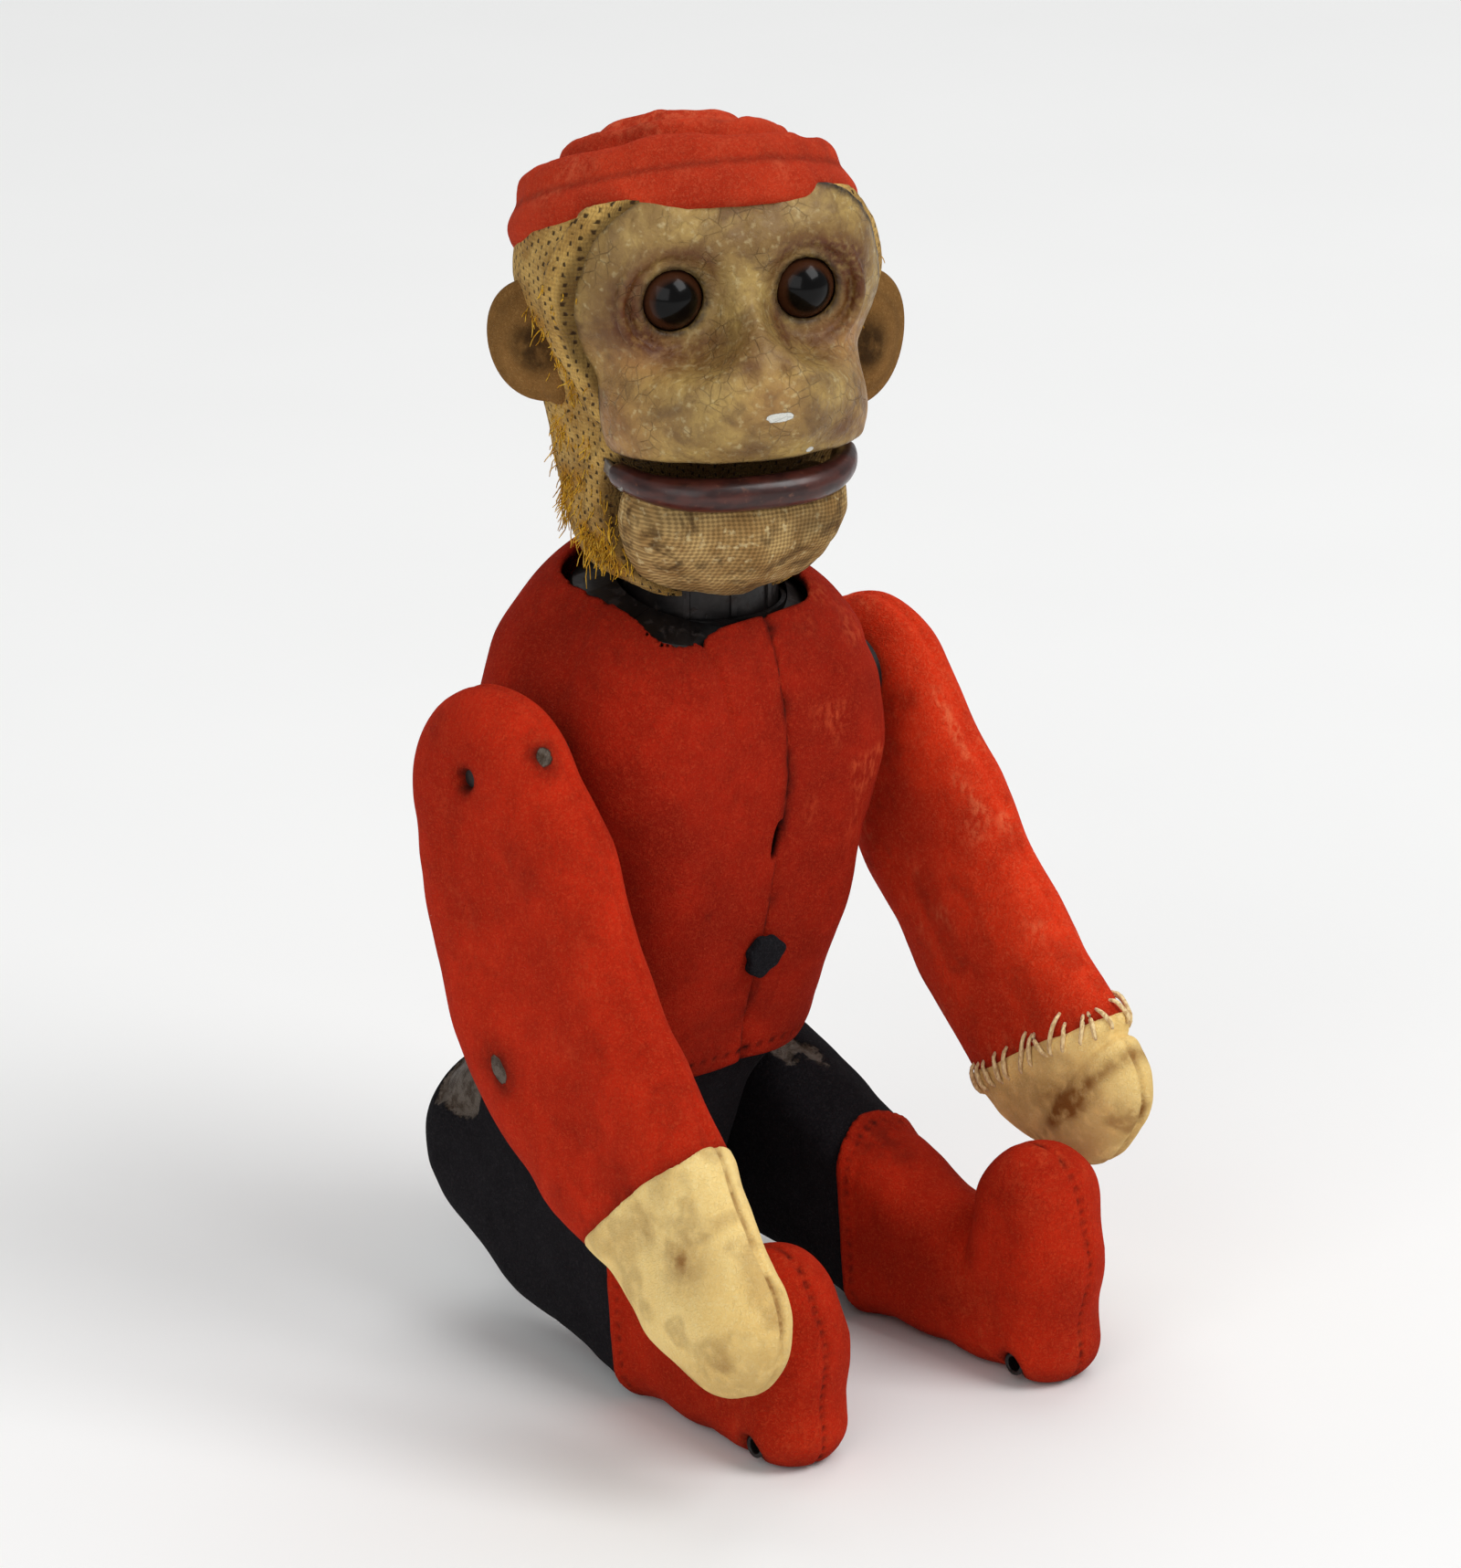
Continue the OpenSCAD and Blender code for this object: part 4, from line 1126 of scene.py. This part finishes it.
def face_gap_shade(p):
    x, y, z = p.T
    # Painted shade: the mask's edge under the plush, a ring round each glass eye and the underside over the mouth.
    edge = ramp(y_behind(p), -0.5, 0.5) * ramp(z, 111, 114)
    ring = np.hypot(np.abs(x) - EYE[0], z - EYE[2])
    rim = bell(ring - 3.7, 0.45) * ramp(-y, 10, 12)
    mouth = ramp(-z, -MOUTH_Z - 0.7, -MOUTH_Z)
    return edge + rim * 0.8 + mouth


def face_chip(p):
    return spots(p, (1.1, (0.9, -24.2, 117.6), (2, 4, 0.7)), (0.8, (5.5, -21.5, 112.6), (0.8, 3, 0.6)))


def face_pink(p):
    cheeks = spots(both_sides(p), (1, (12, -13, 123), (4, 6, 3)), (1, (13.5, -13, 115), (4, 6, 4)))
    return cheeks + 0.5 * spot(p, (0, -24, 120), 4)


def plush_rows(p):
    return np.degrees(np.arctan2(p[:, 0], -(p[:, 1] - 3))) * 0.36 + 60


def head():
    paint = {"stain_and_shade": face_stain_and_socket_shade, "gap": face_gap_shade, "chip": face_chip, "pink": face_pink}
    form(
        "face_mask_painted", face_field, (-21, -27, 110), (21, 2, 149), HEAD, "head",
        FACE_PAINT, ["face_mask"], paint, step=0.4,
    )

    points, quads = surface(plush_field, (-24, -14, 88), (24, 26, 150), 0.55)
    edge = points[:, 1] - hair_line(points[:, 2])
    masks = {
        "row": plush_rows(points), "run": points[:, 2], "gold": gold_mask(points),
        # The stain mask here is painted shade: dark along the plush's front edge where it meets the mask, and
        # along the back of its fold.
        "stain_and_shade": np.clip(bell(edge, 0.7) * 0.7 + bell(edge - 3.3, 0.3) * 0.5, 0, 1),
    }
    mesh_piece(
        "head_plush_cloth", points, quads, HEAD, "head", PLUSH,
        ["head_plush", "skull_shell"], masks,
    )
    mohair_strands(points)


def eye(side, word):
    centre = EYE * [side, 1, 1]

    def eye_field(p):
        return join(ball(p, centre, EYE_RADIUS), ball(p, centre + [0, -1.35, 0], 2.85), 0.6)

    points, quads = surface(eye_field, centre - 5, centre + 5, 0.3)
    x, y, z = points.T
    iris = np.hypot(x - centre[0], z - centre[2]) + 20 * (y > centre[1])
    mesh_piece(
        f"glass_eye_{word}", points, quads, HEAD, "head", EYE_GLASS,
        ["eye_" + word], {"iris": iris},
    )


def ear(side, word):
    local = HEAD.rotation.T @ (middle("ear_" + word) - HEAD.origin)
    reach_x, spread, radius = (-17.9, 38, 6.8) if side < 0 else (18.6, 22, 7.8)
    base = np.array([reach_x, 1, local[2]])
    spin = HEAD.rotation @ turn("Z", side * spread)

    def field(p):
        x, y, z = p[:, 0] * side, p[:, 1], p[:, 2]
        angle = np.arctan2(z, x)
        reach = radius * (1 + 0.05 * np.sin(2 * angle + 0.6) - 0.04 * np.cos(3 * angle))
        across = np.hypot(x, z * 0.98)
        bowl = 2.6 * (across / reach) ** 2 - 2.4 + 0.15 * noise(p, 3, 37)
        sheet = meet(np.abs(y - bowl) - 0.6, across - reach + 0.4, 0.4)
        rim = np.hypot(across - reach + 0.7, y - 0.1) - 0.95
        whole = join(sheet, rim, 0.5)
        inner = np.hypot(np.hypot(x + 2.5, z * 0.9 - 0.5) - 4.6, y + 1) - 0.75
        whole = join(whole, inner + 4 * ramp(-x, -0.5, 1.5), 0.6)
        lobe = egg(p, (-side * 2, -1.2, -4.6), (1.8, 1.5, 2.2))
        return join(whole, lobe, 0.5)

    def stain_and_shade(p):
        x, y, z = p.T
        across = np.hypot(x, z)
        # Darker over the middle of the ear's front, its hollow, and in a ring near the rim.
        return 0.85 * ramp(-across, -4.5, -1.5) * ramp(-y, 0, 1.2) + 0.2 * bell(across - 6, 0.6)

    form(
        f"ear_{word}_felt", field, (-9, -4.5, -9), (9, 4.5, 9), Place(HEAD.out(base), spin), "head",
        EAR_FELT, ["ear_" + word], {"stain_and_shade": stain_and_shade}, step=0.33,
    )


def cap_field(p):
    x, y, z = p.T
    across = np.hypot(x, y)
    ring = p / np.maximum(across, 1)[:, None] * [1, 1, 0] * 12
    waver = 0.6 * noise(ring, 7, 43)
    h = z + noise(ring, 8, 44)
    whole = egg(p, (0, 0, 1.2), (16.2, 16.2, 11.2))
    for reach, height, thick in ((16.9, 1.9, 2.9), (16, 5.9, 2.2), (11.8, 9.4, 1.1), (6.8, 11.2, 1)):
        roll = np.hypot(across - reach - waver, (h - height) * 1.02) - thick
        whole = join(whole, roll, 2)
    curl = np.arctan2(y, x)
    swirl = bell(np.sin(across * 0.42 + curl * 1.5 + 1.2 * noise(ring, 6, 50)), 0.22)
    whole += 0.28 * swirl * ramp(h, 5, 9)
    whole -= 0.25 * noise(p, 5, 45) + 0.15 * noise(p, 2, 46)
    whole = meet(whole, -0.9 - z, 0.9)
    return whole


def cap_stain_and_groove_shade(p):
    x, y, z = p.T
    across = np.hypot(x, y)
    # grooves is painted shade in the creases between the rolled folds.
    grooves = bell(z - 4.4, 0.5) * (across > 16) + 0.7 * bell(across - 14.8, 0.5) * (z > 6)
    return 0.45 * grooves + 0.3 * patchy(p, 4, 47, 0.2, 0.8)


def cap_scuff_and_top_light(p):
    # Paler towards the top: painted light from above, with patchy wear.
    return 0.5 * ramp(p[:, 2], 8, 13) + 0.4 * patchy(p, 3, 48, 0.2, 0.8)


def cap():
    """A round cap of rolled felt folds, tilted back."""
    place = Place(HEAD.out(CAP_SEAT), HEAD.rotation @ turn("X", CAP_TILT))
    form(
        "cap_felt", cap_field, (-23, -23, -2.5), (23, 23, 14), place, "head", CAP_FELT, ["cap"],
        {"stain_and_shade": cap_stain_and_groove_shade, "scuff_and_light": cap_scuff_and_top_light},
    )


def chin_field(p):
    x, y, z = p.T
    q = both_sides(p)
    whole = cone(q, (0, -13.2, 102.8), (6.8, -12.6, 104), 6.9, 6.3)
    whole = join(whole, cone(q, (0, -9.6, 98.6), (5.8, -8.6, 99.8), 6.2), 3)
    whole -= 0.2 * noise(p, 3.2, 55) + 0.12 * noise(p, 1.4, 56) + 0.25 * noise(p * [1, 1, 0.5], 5, 57)
    whole = meet(whole, z - 107.2, 0.4)
    whole = meet(whole, 93 + 0.6 * noise(p, 1.6, 58) - z, 0.8)
    swing_room = 0.6 + 0.11 * np.maximum(JAW_PIVOT[1] - z, 0)
    whole = meet(whole, y_behind(p) + swing_room, 0.5)
    neck = np.hypot(x, y) - 12.8
    return meet(whole, -neck, 0.8)


def chin_stain_and_mouth_shade(p):
    # top is painted shade: the chin's top face, seen inside the lip as the dark of the mouth. low darkens the
    # bottom 2 mm.
    top = ramp(p[:, 2], 106.6, 107.6)
    low = 0.5 * ramp(-p[:, 2], -96, -94)
    return top + low + spots(p, (0.6, (7, -18, 103), (3, 4, 2)), (0.5, (-9, -16, 105), (3, 4, 1.6)))


def lip_field(p):
    x, y = p[:, 0], p[:, 1] + 6.6
    around = (np.abs(x) ** 2.5 + np.abs(y) ** 2.5) ** 0.4 - 13.7
    middle_z = 107.7 + 0.9 * (x / 14) ** 4
    thick = 1.85 - 0.45 * (np.abs(x) / 14) ** 3
    roll = np.hypot(around, (p[:, 2] - middle_z) / 1.05) - thick
    roll += 0.03 * noise(p, 2.5, 59)
    return meet(roll, y + 4.6, 0.6)


def jaw():
    form(
        "chin_linen_cloth", chin_field, (-16, -22, 92), (16, -2, 109), HEAD, "jaw", LINEN,
        ["chin_cloth", "jaw_shell"], {"stain_and_shade": chin_stain_and_mouth_shade}, step=0.4,
    )

    form(
        "lower_lip_roll", lip_field, (-16, -23, 104), (16, -7, 112), HEAD, "jaw", LIP_PAINT,
        ["lower_lip"], step=0.28,
    )


def strip_field(p):
    q = both_sides(p)
    off_strip = np.abs(q[:, 0] - 13.6)
    strip = meet(cone(q[:, 1:], JAW_PIVOT, (-13.4, 107.9), 1.1, 0.75), off_strip - 0.28, 0.15)
    pin = meet(np.linalg.norm(q[:, 1:] - JAW_PIVOT, axis=1) - 0.6, off_strip - 0.8, 0.2)
    return join(strip, pin, 0.1)


def jaw_ends():
    """The strip and pivot at each corner of the mouth, seen only as a bright edge inside the gap."""
    form(
        "jaw_strips", strip_field, (-15, -15, 105), (15, -2, 111.5), HEAD, "jaw", TIN,
        ["jaw_brackets", "jaw_pin"], step=0.3,
    )


# ---- setting ----

def face_along(thing, location, direction):
    """Puts a lamp or camera at a place, facing in a direction."""
    thing.location = location
    thing.rotation_euler = direction.to_track_quat("-Z", "Y").to_euler()


def setting():
    """A pale floor, soft light and the camera."""
    floor = Look("floor", 0.8, rgb(244, 244, 243), specular_ior_level=0.2)
    floor.lay(floor.noise(60, 2), rgb(247, 247, 246))
    floor.done()
    half = 6
    corners = [(-half, -half, 0), (half, -half, 0), (half, half, 0), (-half, half, 0)]
    mesh = bpy.data.meshes.new("floor")
    mesh.from_pydata(corners, [], [(0, 1, 2, 3)])
    mesh.materials.append(floor.material)
    add("floor", mesh)

    world = bpy.data.worlds.new("studio")
    world.use_nodes = True
    background = world.node_tree.nodes["Background"].inputs
    background["Color"].default_value = (0.98, 0.99, 1, 1)
    background["Strength"].default_value = 0.4
    scene = bpy.context.scene
    scene.world = world
    aim = Vector(cad_box[0] + cad_box[1]) / 2
    for name, away, size, power in (
        ("key", (0.45, -1.1, 1.35), 1, 17),
        ("top", (0.6, 0.6, 1.6), 1.35, 9),
        ("fill", (-1.3, -0.6, 0.7), 1.2, 7),
    ):
        light = bpy.data.lights.new(name, "AREA")
        light.size = size
        light.energy = power
        face_along(add(name, light), aim + Vector(away), -Vector(away))

    azimuth, elevation, distance = math.radians(-42), math.radians(19.5), 0.8
    level = math.cos(elevation)
    back = Vector((math.sin(azimuth) * level, -math.cos(azimuth) * level, math.sin(elevation)))
    target = Vector((1.94, -17.12, 67)) * MM
    camera = add("camera", bpy.data.cameras.new("camera"))
    camera.data.lens = 159.3
    camera.data.sensor_width = 36
    face_along(camera, target + back * distance, -back)
    scene.camera = camera
    scene.view_settings.view_transform = "Standard"


def cad_materials():
    slots = {part["node"]: part["material_slot"] for part in frame["record"]["subparts"]}
    for name, node in frame["nodes"].items():
        node.data.materials.clear()
        dark = name.startswith(("neck_collar", "torso_", "arm_hub", "shaft_bush", "arm_shaft", "heel_"))
        node.data.materials.append(DARK_TIN if dark else CAD_LOOKS.get(slots[name], TIN))


setting()
cad_materials()
jacket()
trousers()
button()
arm(-1, "right", ARM_RIGHT, 51)
arm(1, "left", ARM_LEFT, 49.6)
for side, word in ((-1, "right"), (1, "left")):
    leg(side, word)
head()
for side, word in ((-1, "right"), (1, "left")):
    eye(side, word)
    ear(side, word)
cap()
jaw()
jaw_ends()
